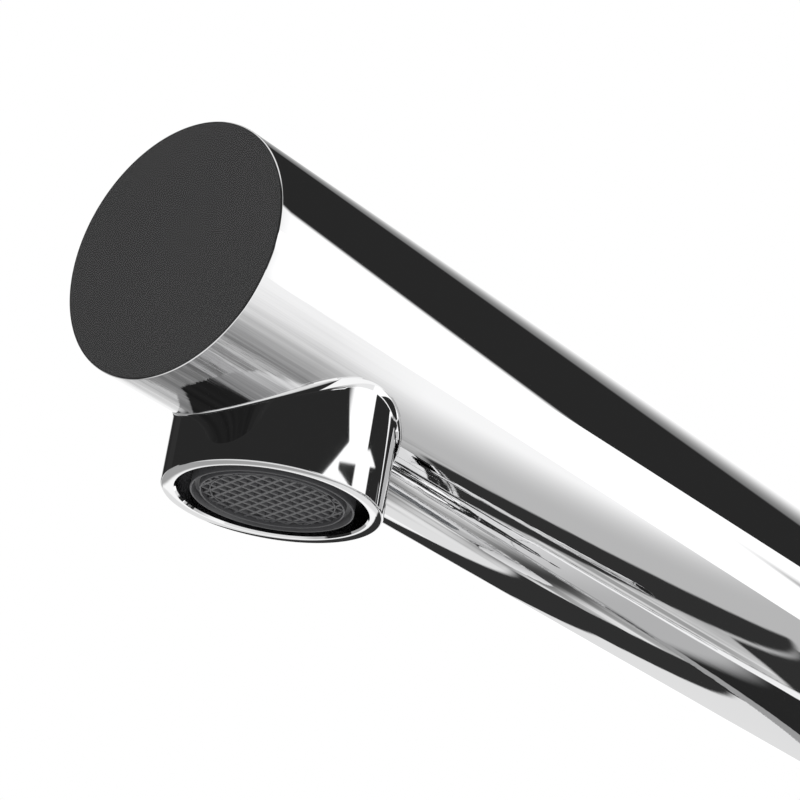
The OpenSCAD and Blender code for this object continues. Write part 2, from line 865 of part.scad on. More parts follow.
module spout_tube() color("gainsboro") {
  difference() {
    union() {
      at_front(spout_height) ring(spout_r, spout_bore_r, spout_root, spout_end - end_plate_t);
      at_outlet() {
        rod(outlet_r, -rim_z, -boss_top_z);
        outlet_blend();
      }
    }
    at_outlet() {
      rod(outlet_bore_d / 2, -rim_z - cut, outlet_recess - rim_z);
      rod(aerator_r + seat_gap, -rim_z, -thread_top_z);
      rod(adapter_bore_r, -thread_top_z - cut, cut - boss_top_z);
    }
  }
}

// Blend radius by direction: 0 degrees is +X, the tip lies at -90 and the column at +90
function blend_r(a) = blend_low_r + (blend_side_r - blend_low_r) * pow(cos(a), 4);

// Height of the tube's surface of radius r under the point x
function tube_z(r, x) = -sqrt(r * r - x * x);

// Centre of the ball that rolls along both the boss and the tube
function ball_at(a, f) = let (x = (outlet_r + f) * cos(a))
  [x, (outlet_r + f) * sin(a), tube_z(spout_r + f, x)];

function unit(v) = v / norm(v);

// Section of the blend at an angle: its hollow arc, then the points sunk in boss and tube
function blend_section(a) = let (
    f = blend_r(a),
    c = ball_at(a, f),
    to_boss = unit([outlet_r * cos(a), outlet_r * sin(a), c[2]] - c),
    to_tube = unit([-c[0], 0, -c[2]]),
    root_r = outlet_r - blend_root,
    root_x = root_r * cos(a)
  ) concat(
    [for (i = [0:blend_arc_steps])
      c + (f + (i == 0 || i == blend_arc_steps ? blend_sink : 0))
        * unit(to_boss * (blend_arc_steps - i) + to_tube * i)],
    [[root_x, root_r * sin(a), tube_z(spout_r - blend_root, root_x)]]
  );

module outlet_blend() {
  sides = blend_arc_steps + 2;
  sections = [for (i = [0:blend_steps - 1]) blend_section(360 * i / blend_steps)];
  points = [for (s = sections) each s];
  faces = [for (i = [0:blend_steps - 1], j = [0:sides - 1])
    let (
      a = i * sides + j,
      b = i * sides + (j + 1) % sides,
      c = ((i + 1) % blend_steps) * sides + (j + 1) % sides,
      d = ((i + 1) % blend_steps) * sides + j
    ) each [[a, b, c], [a, c, d]]];
  polyhedron(points, faces);
}

module spout_end_plate() color("dimgray") {
  at_front(spout_height) {
    difference() {
      soft_rod(spout_r, spout_end - 2 * end_plate_t, spout_end, face_edge_r);
      rod(spout_r + cut, spout_end - 3 * end_plate_t, spout_end - end_plate_t);
    }
    rod(spout_bore_r - seat_gap, spout_end - 2 * end_plate_t, spout_end - end_plate_t);
  }
}

module spout_waterway() color("peru")
  at_front(spout_height)
    ring(feed_r, feed_r - feed_wall, elbow_arm_l - feed_socket, spout_reach - adapter_arm + feed_socket);

module outlet_adapter() color("goldenrod") {
  at_outlet() difference() {
    union() {
      rod(adapter_r, -boss_top_z, adapter_rise);
      at_back(0) rod(elbow_arm_r, 0, adapter_arm);
    }
    rod(adapter_bore_r, -boss_top_z - cut, adapter_rise - adapter_roof);
    at_back(0) {
      rod(feed_r - feed_wall, 0, adapter_arm);
      rod(feed_r + seat_gap, adapter_arm - feed_socket, adapter_arm + cut);
    }
  }
}

// Aerator: ringed face, square screen and a core with jets

module aerator_housing() color("gray") {
  face = insert_recess - rim_z;
  lip_in = aerator_r - lip_t;
  ring_out = lip_in - groove_w;
  at_outlet() difference() {
    rod(aerator_r, face, -thread_top_z - gasket_t);
    ring(lip_in, ring_out, face - cut, face + groove_depth);
    rod(screen_r + seat_gap, face - cut, cut - thread_top_z);
    lift(face - film) cylinder(r1 = ring_out - lip_t + film, r2 = screen_r, h = screen_recess);
  }
}

module aerator_screen() color("darkgray") {
  face = screen_recess - rim_z;
  reach = floor(screen_r / mesh_pitch);
  at_outlet() difference() {
    rod(screen_r, face, face + screen_t);
    intersection() {
      rotate([0, 0, -mesh_turn]) for (i = [-reach - 1:reach], j = [-reach - 1:reach])
        translate([i * mesh_pitch + mesh_bar / 2, j * mesh_pitch + mesh_bar / 2, face - cut])
          cube([mesh_pitch - mesh_bar, mesh_pitch - mesh_bar, screen_t + 2 * cut]);
      rod(screen_r - mesh_bar / 2, face - 2 * cut, face + screen_t + 2 * cut);
    }
  }
}

module aerator_core() color("dimgray") {
  at_outlet() difference() {
    rod(screen_r, screen_recess + screen_t - rim_z, -thread_top_z - gasket_t);
    for (i = [0:jet_count - 1]) rotate([0, 0, i * 360 / jet_count])
      translate([jet_circle_share * screen_r, 0, 0]) rod(jet_r, -rim_z, -thread_top_z);
  }
}

module aerator_gasket() color("black")
  at_outlet() ring(aerator_r, adapter_bore_r, -thread_top_z - gasket_t, -thread_top_z);

// Holder

module holder_arm() color("gainsboro") {
  difference() {
    at_left(holder_z) difference() {
      rod(arm_r, column_r / 2, arm_end);
      rod(screw_r + seat_gap, 0, screw_meet_share * (column_r + arm_end) + screw_r);
      rod(pin_screw_r + seat_gap, screw_meet_share * (column_r + arm_end), arm_end + cut);
    }
    rod(column_r + seat_gap, holder_z - arm_d, holder_z + arm_d);
  }
}

// Screw from inside the column into the arm
module holder_screw() color("silver") {
  seat = sqrt(column_bore_r * column_bore_r - screw_head_r * screw_head_r) - seat_gap;
  at_left(holder_z) {
    rod(screw_head_r, seat - screw_head_t, seat);
    rod(screw_r, seat - cut, screw_meet_share * (column_r + arm_end));
  }
}

module holder_washer() color("black")
  at_left(holder_z) ring(arm_r, pin_screw_r + 2 * seat_gap, arm_end, arm_end + washer_t);

// Cradle: a slotted cup with a conical seat, on a boss that turns on its screw
module handset_cradle() color("gainsboro") {
  low = cone_length / 2 - cradle_h / 2;
  difference() {
    union() {
      at_left(holder_z) rod(arm_r, arm_end + washer_t + seat_gap, holder_reach);
      at_handset() lift(holder_z - cradle_h / 2) soft_rod(cradle_r, 0, cradle_h, 2 * edge_r);
    }
    at_handset() {
      lift(cone_z + low - cut)
        cylinder(r1 = cone_r(low - cut) + free_gap, r2 = cone_r(low + cradle_h + cut) + free_gap,
          h = cradle_h + 2 * cut);
      translate([-cradle_slot_w / 2, -cradle_d, holder_z - cradle_h])
        cube([cradle_slot_w, cradle_d, 2 * cradle_h]);
    }
    at_left(holder_z) {
      rod(pin_screw_r + run_gap, arm_end, holder_reach);
      rod(pin_head_r + 2 * run_gap, pin_head_z - film, holder_reach);
    }
  }
}

pin_head_z = holder_reach - handset_r - free_gap - pin_head_t - 2 * free_gap;

module cradle_screw() color("silver") {
  at_left(holder_z) difference() {
    union() {
      rod(pin_screw_r, screw_meet_share * (column_r + arm_end) + screw_r, pin_head_z + cut / 2);
      rod(pin_head_r, pin_head_z, pin_head_z + pin_head_t);
    }
    lift(pin_head_z + pin_head_t / 2) cylinder(r = pin_screw_r / 2, h = pin_head_t, $fn = 6);
  }
}

// Hand shower

module handset_body() color("gainsboro") {
  at_handset() difference() {
    union() {
      lift(cone_z) cylinder(r1 = cone_end_r, r2 = handset_r, h = cone_length);
      rod(handset_r, cone_z + cone_length, handset_top - handset_cap_t);
    }
    rod(nipple_plug_r + seat_gap, cone_z - cut, cone_z + cone_length);
    rod(handset_bore_r, cone_z + cone_length, handset_top);
    at_front(spray_z) oblong(spray_w + 2 * seat_gap, spray_h + 2 * seat_gap, 0, handset_r + cut);
  }
}

module handset_cap() color("gainsboro") {
  at_handset() {
    soft_rod(handset_r, handset_top - handset_cap_t, handset_top, edge_r);
    rod(handset_bore_r - seat_gap, handset_top - 2 * handset_cap_t, handset_top - edge_r);
  }
}

module handset_nipple() color("goldenrod") {
  at_handset() difference() {
    union() {
      rod(hose_r, cone_z - hose_thread_length, cone_z);
      rod(nipple_plug_r, cone_z - cut / 2, cone_z + nipple_plug_h);
    }
    rod(nipple_bore_r, cone_z - hose_thread_length - cut, cone_z + nipple_plug_h + cut);
  }
}

module nozzle_places() {
  rows = floor((spray_h - spray_w / 2) / nozzle_pitch);
  for (c = [0:nozzle_columns - 1], r = [0:rows - 1])
    translate([(c - (nozzle_columns - 1) / 2) * nozzle_side, (r - (rows - 1) / 2) * nozzle_pitch, 0])
      children();
}

module spray_plate() color("dimgray") {
  at_handset() at_front(spray_z) difference() {
    oblong(spray_w, spray_h, spray_face - spray_t, spray_face);
    nozzle_places() rod(nozzle_d / 2 + seat_gap, spray_face - spray_t - cut, spray_face + cut);
  }
}

// Soft mat behind the plate with a nozzle through each of its holes
module spray_nozzles() color("black") {
  back = spray_face - spray_t;
  at_handset() at_front(spray_z) {
    oblong(spray_w, spray_h, back - mat_t, back);
    nozzle_places() {
      rod(nozzle_d / 2, back - mat_t / 2, spray_face);
      lift(spray_face) cylinder(r1 = nozzle_d / 2, r2 = nozzle_tip_share * nozzle_d / 2, h = nozzle_out);
    }
  }
}

// Chamber that backs the mat and brings the water to it
module spray_chamber() color("darkgray") {
  back = spray_face - spray_t - mat_t;
  low = spray_z - spray_h / 2;
  high = handset_top - 2 * handset_cap_t;
  at_handset() difference() {
    rod(handset_bore_r - seat_gap, low - spray_margin, high);
    translate([-handset_r, -handset_r, low - seat_gap]) cube([handset_d, handset_r - back, high]);
    rod(nipple_bore_r, low - spray_margin - cut, high - spray_margin);
  }
}

floor_flange();
floor_cover();
cover_seal();
column_tube();
column_set_screws();
hot_inlet_union();
cold_inlet_union();
hot_supply_tube();
cold_supply_tube();
supply_seals();
mixer_body();
cartridge_base();
cartridge_seals();
fixed_disc();
moving_disc();
cartridge_carrier();
pivot_pin();
cartridge_stem();
cartridge_housing();
cartridge_nut();
sleeve_guide_ring();
handle_sleeve();
lever_hub();
lever();
lever_set_screw();
diverter_housing();
diverter_seal();
diverter_rotor();
diverter_stem();
diverter_knob();
knob_set_screw();
diverter_pointer();
hose_outlet_elbow();
hose_valve_cage();
hose_valve_poppet();
head_shell();
head_cap();
feed_tube();
waterway_elbow();
spout_tube();
spout_end_plate();
spout_waterway();
outlet_adapter();
aerator_housing();
aerator_core();
aerator_screen();
aerator_gasket();
holder_arm();
holder_screw();
holder_washer();
handset_cradle();
cradle_screw();
handset_body();
handset_cap();
handset_nipple();
spray_plate();
spray_nozzles();
spray_chamber();
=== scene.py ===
# %% [markdown]
# # A tub filler with hand shower
#
# The object is a floor-standing tap in polished chrome: a column, a plain round spout with a
# ground end face, a side lever, a diverter knob and a stick hand shower. The solids come from
# the CAD frame. Here the visible chrome is modelled again with finer rounding, because a
# mirror finish shows every flat facet, and each part gets its own finish.

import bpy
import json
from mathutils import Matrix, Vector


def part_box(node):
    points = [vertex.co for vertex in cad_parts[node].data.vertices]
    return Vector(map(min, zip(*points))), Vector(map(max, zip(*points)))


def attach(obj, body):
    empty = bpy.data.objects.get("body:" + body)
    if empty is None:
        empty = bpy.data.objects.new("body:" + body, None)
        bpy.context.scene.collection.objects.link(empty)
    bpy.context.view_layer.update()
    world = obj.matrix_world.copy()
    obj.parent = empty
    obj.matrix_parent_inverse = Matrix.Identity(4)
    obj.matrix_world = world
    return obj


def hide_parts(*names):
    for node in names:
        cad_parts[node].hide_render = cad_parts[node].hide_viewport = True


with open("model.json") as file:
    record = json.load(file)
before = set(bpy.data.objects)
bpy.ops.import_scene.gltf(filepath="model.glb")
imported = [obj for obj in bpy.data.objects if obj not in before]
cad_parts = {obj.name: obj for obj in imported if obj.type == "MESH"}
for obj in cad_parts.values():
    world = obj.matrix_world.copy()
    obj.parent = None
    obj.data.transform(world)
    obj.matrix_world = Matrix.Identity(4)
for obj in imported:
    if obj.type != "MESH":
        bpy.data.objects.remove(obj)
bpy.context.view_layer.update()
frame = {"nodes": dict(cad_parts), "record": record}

# %% Tools of the lesson
import json
import math

import bmesh
import bpy
from mathutils import Matrix, Vector

MM = 0.001
TURN = 2 * math.pi
record = frame["record"]
scene = bpy.context.scene

# %% [markdown]
# Places on the spout are read from boxes of the CAD nodes, so the new pieces stay fitted to them.
# The measures of the other pieces are written once in millimetres, as in the CAD.
# The spout's axis runs along Y at the height of the end plate's centre, and the outlet hangs
# below it round the aerator's own vertical axis.

# %% Main places
plate_low, plate_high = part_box("spout_end_plate")
tube_low, tube_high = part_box("spout_tube")
aerator_low, aerator_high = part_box("aerator_housing")
AXIS_Z = (plate_low.z + plate_high.z) / 2
TUBE_R = (plate_high.x - plate_low.x) / 2
TIP_Y = plate_low.y
OUTLET_Y = (aerator_low.y + aerator_high.y) / 2
RIM_Z = tube_low.z
print("spout axis at", round(AXIS_Z, 4), "radius", round(TUBE_R, 4), "tip", round(TIP_Y, 4))
print("outlet at", round(OUTLET_Y, 4), "rim at", round(RIM_Z, 4))

# %% [markdown]
# ## Helpers
#
# Most pieces of a tap are turned on a lathe. In Blender the same is done by drawing half of the
# section with one vertex that is extruded from point to point, and by spinning that line round
# the piece's axis. Its corners are rounded, because a polishing wheel leaves no sharp edge.


# %% Selecting and finishing
def deselect():
    """Leaves edit mode with nothing selected."""
    if bpy.context.object and bpy.context.object.mode != "OBJECT":
        bpy.ops.object.mode_set(mode="OBJECT")
    bpy.ops.object.select_all(action="DESELECT")


def pick(*pieces):
    """Selects these pieces and makes the last one active."""
    deselect()
    for piece in pieces:
        piece.select_set(True)
    bpy.context.view_layer.objects.active = pieces[-1]
    return pieces[-1]


def settle(piece):
    """Moves the piece's place, turn and size into its mesh."""
    pick(piece)
    bpy.ops.object.transform_apply(location=True, rotation=True, scale=True)
    return piece


def outward(piece):
    """Merges doubles, then points all faces outwards."""
    pick(piece)
    bpy.ops.object.mode_set(mode="EDIT")
    bpy.ops.mesh.select_all(action="SELECT")
    bpy.ops.mesh.remove_doubles(threshold=1e-6)
    bpy.ops.mesh.normals_make_consistent(inside=False)
    bpy.ops.object.mode_set(mode="OBJECT")
    return piece


def smooth(piece, degrees=32):
    """Smooth shading, except over edges sharper than this."""
    pick(piece)
    bpy.ops.object.shade_smooth_by_angle(angle=math.radians(degrees))
    return piece


def weigh(piece):
    """Lets large faces rule the shading, so that a round edge doesn't bend the flat beside it."""
    pick(piece)
    step = piece.modifiers.new("weigh", "WEIGHTED_NORMAL")
    step.keep_sharp, step.weight = True, 100
    bpy.ops.object.modifier_apply(modifier=step.name)
    return piece


# %% [markdown]
# A rounded corner in a drawing is an arc that touches both of its lines. A few points are put on
# it, so that the turned piece needs no bevel.


# %% Rounding the corners of a drawing
def swing(start, end, share):
    """The vector at this share of the turn from start to end, which are equally long."""
    sweep = start.angle(end)
    return (start * math.sin((1 - share) * sweep) + end * math.sin(share * sweep)) / math.sin(sweep)


def rounded(points, steps=5):
    """Points (r, z) or (r, z, corner radius) as a closed line, each corner with its own arc."""
    line = []
    for i, point in enumerate(points):
        here = Vector(point[:2])
        radius = point[2] if len(point) > 2 else 0
        if not radius:
            line.append(tuple(here))
            continue
        before = (Vector(points[i - 1][:2]) - here).normalized()
        after = (Vector(points[(i + 1) % len(points)][:2]) - here).normalized()
        half = before.angle(after) / 2
        centre = here + (before + after).normalized() * radius / math.sin(half)
        start = here + before * radius / math.tan(half) - centre
        end = here + after * radius / math.tan(half) - centre
        line += [tuple(centre + swing(start, end, k / steps)) for k in range(steps + 1)]
    return line


# %% Drawing half of a section, and turning it
def drawn(name, line):
    """A line through (r, z) points in millimetres, closed unless it ends on the axis, in edit mode."""
    deselect()
    bpy.ops.mesh.primitive_plane_add(size=MM, location=(line[0][0] * MM, 0, line[0][1] * MM))
    piece = bpy.context.object
    piece.name = piece.data.name = name
    bpy.ops.object.transform_apply(location=True)
    bpy.ops.object.mode_set(mode="EDIT")
    bpy.ops.mesh.merge(type="CENTER")
    for a, b in zip(line, line[1:]):
        step = ((b[0] - a[0]) * MM, 0, (b[1] - a[1]) * MM)
        bpy.ops.mesh.extrude_region_move(TRANSFORM_OT_translate={"value": step})
    if line[0][0] > 0 and line[-1][0] > 0:
        edit = bmesh.from_edit_mesh(piece.data)
        edit.edges.new([v for v in edit.verts if len(v.link_edges) == 1])
        bmesh.update_edit_mesh(piece.data)
    return piece


def turned(name, points, sides=96, steps=5):
    """A piece turned round Z from half of its section, with the corners rounded."""
    piece = drawn(name, rounded(points, steps))
    bpy.ops.mesh.select_all(action="SELECT")
    bpy.ops.mesh.spin(steps=sides, angle=TURN, center=(0, 0, 0), axis=(0, 0, 1))
    return smooth(outward(piece))


def ring(inner, outer, low, high, top=0, foot=0):
    """Half of the section of a ring or a disc, with a round edge at its top and its foot."""
    return [(inner, low), (outer, low, foot), (outer, high, top), (inner, high)]


# %% [markdown]
# A lathe piece is drawn upright. These places lay it down on the part: the spout and the diverter
# look to the front, the mixer's stub to the right, the holder to the left.

# %% Laying pieces in place
TO_FRONT, TO_BACK, TO_RIGHT, TO_LEFT = (
    Matrix.Rotation(math.radians(angle), 4, axis)
    for angle, axis in ((90, "X"), (-90, "X"), (90, "Y"), (-90, "Y")))


def laid(piece, turn=None, x=0, y=0, z=0):
    """Turns the piece from upright and moves it to x, y, z in metres."""
    piece.matrix_world = Matrix.Translation((x, y, z)) @ (turn or Matrix.Identity(4))
    return settle(piece)


def combine(piece, other, how):
    """Joins another solid to this one or cuts it away, then removes the other."""
    pick(piece)
    step = piece.modifiers.new("join", "BOOLEAN")
    step.operation, step.object, step.solver = how, other, "EXACT"
    bpy.ops.object.modifier_apply(modifier=step.name)
    bpy.data.objects.remove(other, do_unlink=True)
    return piece


def cut(piece, *tools):
    """Cuts each of these solids away, in their order."""
    for tool in tools:
        combine(piece, tool, "DIFFERENCE")
    return piece


# %% [markdown]
# ## Finishes
#
# A finish is more than a colour. Polished chrome carries faint wipe marks, the end face shows the
# grain of its grinding, mouldings have a fine texture and turned brass shows its tool marks.
# These effects are shader groups with named inputs, built once and used by several materials.

# %% Building shader nodes
def add_node(tree, kind, inputs=None, **settings):
    """Adds a shader node, sets what it is, and gives or links its inputs."""
    made = tree.nodes.new("ShaderNode" + kind)
    for name, value in settings.items():
        setattr(made, name, value)
    for name, value in (inputs or {}).items():
        if isinstance(value, bpy.types.NodeSocket):
            tree.links.new(value, made.inputs[name])
        else:
            made.inputs[name].default_value = value
    return made


def new_group(name, inputs, outputs):
    """An empty shader group with float inputs and outputs of the named kinds."""
    tree = bpy.data.node_groups.new(name, "ShaderNodeTree")
    for label, value in inputs.items():
        socket = tree.interface.new_socket(label, in_out="INPUT", socket_type="NodeSocketFloat")
        socket.default_value = value
    for label in outputs:
        tree.interface.new_socket(label, in_out="OUTPUT", socket_type="NodeSocketFloat")
    return tree, tree.nodes.new("NodeGroupInput").outputs, tree.nodes.new("NodeGroupOutput").inputs


# %% [markdown]
# Wipe marks: soft clouds that make the surface a little duller here and there. The clouds are
# read from Object coordinates, so they stay with the piece.

# %% Wipe marks
def wipe_marks():
    inputs = {"Roughness": 0.03, "Marks": 0.02, "Size": 30}
    tree, given, out = new_group("wipe_marks", inputs, ["Roughness"])
    place = add_node(tree, "TexCoord").outputs["Object"]
    clouds = add_node(tree, "TexNoise", {"Vector": place, "Scale": given["Size"], "Detail": 3})
    total = add_node(tree, "Math",
                     {0: clouds.outputs["Fac"], 1: given["Marks"], 2: given["Roughness"]},
                     operation="MULTIPLY_ADD")
    tree.links.new(total.outputs[0], out["Roughness"])
    return tree


# %% [markdown]
# Grain: fine noise that is stretched along one axis, which reads as grinding or drawing marks,
# or left even, which reads as the skin of a moulding.

# %% Grain
def surface_grain():
    tree, given, out = new_group(
        "surface_grain", {"Scale": 900, "Stretch X": 1, "Stretch Y": 1, "Stretch Z": 1}, ["Height"])
    place = add_node(tree, "TexCoord").outputs["Object"]
    stretch = add_node(tree, "CombineXYZ",
                       {axis: given["Stretch " + axis] for axis in "XYZ"})
    spread = add_node(tree, "VectorMath", {0: place, 1: stretch.outputs[0]}, operation="MULTIPLY")
    noise = add_node(tree, "TexNoise",
                     {"Vector": spread.outputs[0], "Scale": given["Scale"], "Detail": 4, "Roughness": 0.6})
    tree.links.new(noise.outputs["Fac"], out["Height"])
    return tree


WIPE = wipe_marks()
GRAIN = surface_grain()


# %% A material from these effects
def finish(name, color, metallic, roughness, marks=0.02, size=30, grain=None, depth=0.0, shade=0.0):
    """A finish with wipe marks, and with a grain (scale, x, y, z) of this depth in mm and shade."""
    material = bpy.data.materials.new(name)
    material.use_nodes = True
    tree = material.node_tree
    shader = tree.nodes["Principled BSDF"]
    shader.inputs["Base Color"].default_value = (*color, 1)
    shader.inputs["Metallic"].default_value = metallic
    wipe = add_node(tree, "Group", {"Roughness": roughness, "Marks": marks, "Size": size}, node_tree=WIPE)
    tree.links.new(wipe.outputs["Roughness"], shader.inputs["Roughness"])
    if grain:
        texture = add_node(tree, "Group", dict(enumerate(grain)), node_tree=GRAIN)
        bump = add_node(tree, "Bump", {"Height": texture.outputs["Height"], "Distance": depth * MM})
        tree.links.new(bump.outputs["Normal"], shader.inputs["Normal"])
        if shade:
            dark = [c * (1 - shade) for c in color]
            mix = add_node(tree, "Mix", {0: texture.outputs["Height"], 6: (*dark, 1), 7: (*color, 1)},
                           data_type="RGBA")
            tree.links.new(mix.outputs[2], shader.inputs["Base Color"])
    return material


# %% [markdown]
# The record names one slot for each finish. Every slot gets its material here, and every CAD
# node that stays in view takes the material of its own slot.

# %% The finishes by slot
# Chrome's colour, then its metallic value, roughness, marks and their size
CHROME_COLOR = (0.93, 0.93, 0.935)
CHROME = (CHROME_COLOR, 1, 0.008, 0.014, 25)
FINISHES = {
    "chrome": finish("chrome", *CHROME),
    "ground_chrome": finish("ground_chrome", (0.92, 0.92, 0.93), 0.98, 0.22, marks=0.05, size=60,
                            grain=(2600, 1, 1, 1), depth=0.004, shade=0.06),
}
# Rows: slot, colour, metallic, roughness, grain (scale, x, y, z), its depth and its shade
for slot, color, metallic, roughness, grain, depth, shade in (
    ("steel", (0.62, 0.61, 0.60), 1, 0.22, (1800, 1, 1, 0.1), 0.004, 0.1),
    ("dark_steel", (0.10, 0.10, 0.105), 1, 0.35, (1500, 1, 1, 1), 0.01, 0.3),
    ("brass", (0.78, 0.58, 0.27), 1, 0.2, (1400, 0.1, 0.1, 1), 0.006, 0.15),
    ("copper", (0.78, 0.42, 0.28), 1, 0.24, (1400, 1, 1, 0.06), 0.004, 0.2),
    ("ceramic", (0.86, 0.85, 0.82), 0, 0.12, (1200, 1, 1, 1), 0.002, 0.04),
    ("white_plastic", (0.80, 0.80, 0.78), 0, 0.38, (1600, 1, 1, 1), 0.01, 0.04),
    ("grey_plastic", (0.20, 0.21, 0.22), 0, 0.42, (1600, 1, 1, 1), 0.01, 0.1),
    ("aerator_plastic", (0.10, 0.10, 0.105), 0, 0.34, (1500, 1, 1, 1), 0.01, 0.15),
    ("dark_plastic", (0.035, 0.035, 0.038), 0, 0.4, (1600, 1, 1, 1), 0.01, 0.2),
    ("rubber", (0.02, 0.02, 0.02), 0, 0.6, (1200, 1, 1, 1), 0.02, 0.2),
    ("silicone", (0.13, 0.13, 0.14), 0, 0.5, (1200, 1, 1, 1), 0.015, 0.1),
):
    FINISHES[slot] = finish(slot, color, metallic, roughness, grain=grain, depth=depth, shade=shade)


# %% Giving the CAD nodes their finishes
def wear(piece, slot, body):
    """Gives a new piece its finish and the body that it moves with."""
    piece.data.materials.clear()
    piece.data.materials.append(FINISHES[slot])
    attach(piece, body)
    return piece


for entry in record["subparts"]:
    node_mesh = frame["nodes"][entry["node"]].data
    node_mesh.materials.clear()
    node_mesh.materials.append(FINISHES[entry["material_slot"]])
print("finishes:", ", ".join(FINISHES))

# %% [markdown]
# ## The spout and its outlet
#
# On the real tap the spout is a tube with a short round boss soldered under it, ground and then
# plated. The polisher's wheel leaves a soft hollow where boss and tube meet, nearly sharp under
# the tube and wide at its sides. The tube and the boss are turned pieces joined by a
# boolean. No operator rolls a ball of changing radius along two cylinders, so the ring that
# fills the corner is worked out: each of its sections is the arc of a ball that touches both.

# %% Measures of the spout, in millimetres
BODY_R = TUBE_R / MM
BORE_R = BODY_R - 1.5
BOSS_R = 16.3
RIM = (AXIS_Z - RIM_Z) / MM
MOUTH_R, MOUTH_DEPTH = 14.1, 5
INSERT_R = (aerator_high.x - aerator_low.x) / 2 / MM + 0.05
BOSS_TOP, INSERT_TOP, SOCKET_R = 11, 13.5, 9
BLEND_LOW, BLEND_SIDE = 0.3, 4.6
SINK, ROOT, BLEND_TOP = 0.05, 0.8, 9.5
BLEND_SECTIONS, BLEND_STEPS = 192, 12
ROOT_Y, FRONT_Y = tube_high.y / MM, tube_low.y / MM
print("boss rim", round(RIM, 2), "mm under the axis, tube from", round(ROOT_Y, 2), "to", round(FRONT_Y, 2))


# %% The ball in the corner between boss and tube
def blend_radius(angle):
    """Radius of the hollow at this angle round the outlet: the tip lies at -90 degrees."""
    return BLEND_LOW + (BLEND_SIDE - BLEND_LOW) * math.cos(angle) ** 4


def ball(angle):
    """Centre and radius of the ball that touches boss and tube at this angle."""
    radius = blend_radius(angle)
    out = BOSS_R + radius
    x = out * math.cos(angle)
    return Vector((x, out * math.sin(angle), -math.sqrt((BODY_R + radius) ** 2 - x * x))), radius


def blend_section(angle):
    """Arc of the ball from the boss to the tube, then a point sunk in the metal."""
    centre, radius = ball(angle)
    boss = (Vector((BOSS_R * math.cos(angle), BOSS_R * math.sin(angle), centre.z)) - centre).normalized()
    tube = Vector((-centre.x, 0, -centre.z)).normalized()
    points = []
    for i in range(BLEND_STEPS + 1):
        edge = SINK if i in (0, BLEND_STEPS) else 0
        points.append(centre + swing(boss, tube, i / BLEND_STEPS) * (radius + edge))
    inner = BOSS_R - ROOT
    x = inner * math.cos(angle)
    points.append(Vector((x, inner * math.sin(angle), -math.sqrt((BODY_R - ROOT) ** 2 - x * x))))
    return points


# %% The ring that fills the corner
def blend_ring():
    sections = [blend_section(TURN * i / BLEND_SECTIONS) for i in range(BLEND_SECTIONS)]
    count = len(sections[0])
    spots = [p * MM for section in sections for p in section]
    faces = []
    for i in range(BLEND_SECTIONS):
        here, there = i * count, (i + 1) % BLEND_SECTIONS * count
        for j in range(count):
            k = (j + 1) % count
            faces.append((here + j, here + k, there + k, there + j))
    mesh = bpy.data.meshes.new("corner_ring")
    mesh.from_pydata(spots, [], faces)
    ring = bpy.data.objects.new("corner_ring", mesh)
    scene.collection.objects.link(ring)
    return outward(laid(ring, y=OUTLET_Y, z=AXIS_Z))


# %% [markdown]
# The boolean leaves long strips between the straight edges of each cylinder. A mirror finish
# shows the smallest error in their shading, so each corner of a face on the tube, the boss or
# the ring is told the exact direction that the true surface has there.


# %% True normals on tube, boss and ring
def true_normal(place, facing):
    """The real surface's direction at a place of the spout, or zero where nothing is known."""
    p = (place - Vector((0, OUTLET_Y, AXIS_Z))) / MM
    on_tube = Vector((p.x, 0, p.z))
    on_boss = Vector((p.x, p.y, 0))
    near_tube, near_boss = (
        abs(out.length - radius) < 0.06 and facing.dot(out.normalized()) > 0.96
        for out, radius in ((on_tube, BODY_R), (on_boss, BOSS_R)))
    if p.z < -BLEND_TOP and on_boss.length < BOSS_R + BLEND_SIDE:
        centre, radius = ball(math.atan2(p.y, p.x))
        to_centre = centre - p
        inside = -RIM + 1 < p.z and to_centre.length < radius + 0.12
        if inside and not (near_tube or near_boss) and facing.dot(to_centre.normalized()) > 0.9:
            return to_centre.normalized()
    if near_tube:
        return on_tube.normalized()
    if near_boss:
        return on_boss.normalized()
    return Vector()


def polish_normals(piece):
    mesh = piece.data
    wanted = []
    for face in mesh.polygons:
        for corner in face.loop_indices:
            wanted.append(true_normal(mesh.vertices[mesh.loops[corner].vertex_index].co, face.normal))
    mesh.normals_split_custom_set(wanted)
    known = sum(1 for n in wanted if n.length > 0)
    print(piece.name, "corners with true normals", known, "of", len(wanted))
    return piece


# %% The spout's tube with its outlet boss
tube = laid(turned("spout", ring(BORE_R, BODY_R, -ROOT_Y, -FRONT_Y), sides=256), TO_FRONT, z=AXIS_Z)
boss = turned("boss", ring(0, BOSS_R, -RIM, -BOSS_TOP, foot=0.35), sides=256)
laid(boss, y=OUTLET_Y, z=AXIS_Z)
mouth = turned("mouth", [
    (0, -RIM - 1), (MOUTH_R + 0.25, -RIM - 1), (MOUTH_R + 0.25, -RIM), (MOUTH_R, -RIM + 0.3),
    (MOUTH_R, MOUTH_DEPTH - RIM), (INSERT_R, MOUTH_DEPTH - RIM), (INSERT_R, -INSERT_TOP),
    (SOCKET_R, -INSERT_TOP), (SOCKET_R, 1 - BOSS_TOP), (0, 1 - BOSS_TOP),
], sides=192)
laid(mouth, y=OUTLET_Y, z=AXIS_Z)
combine(tube, boss, "UNION")
combine(tube, blend_ring(), "UNION")
combine(tube, mouth, "DIFFERENCE")
polish_normals(smooth(outward(tube), 24))
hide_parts("spout_tube")
wear(tube, "chrome", "column")
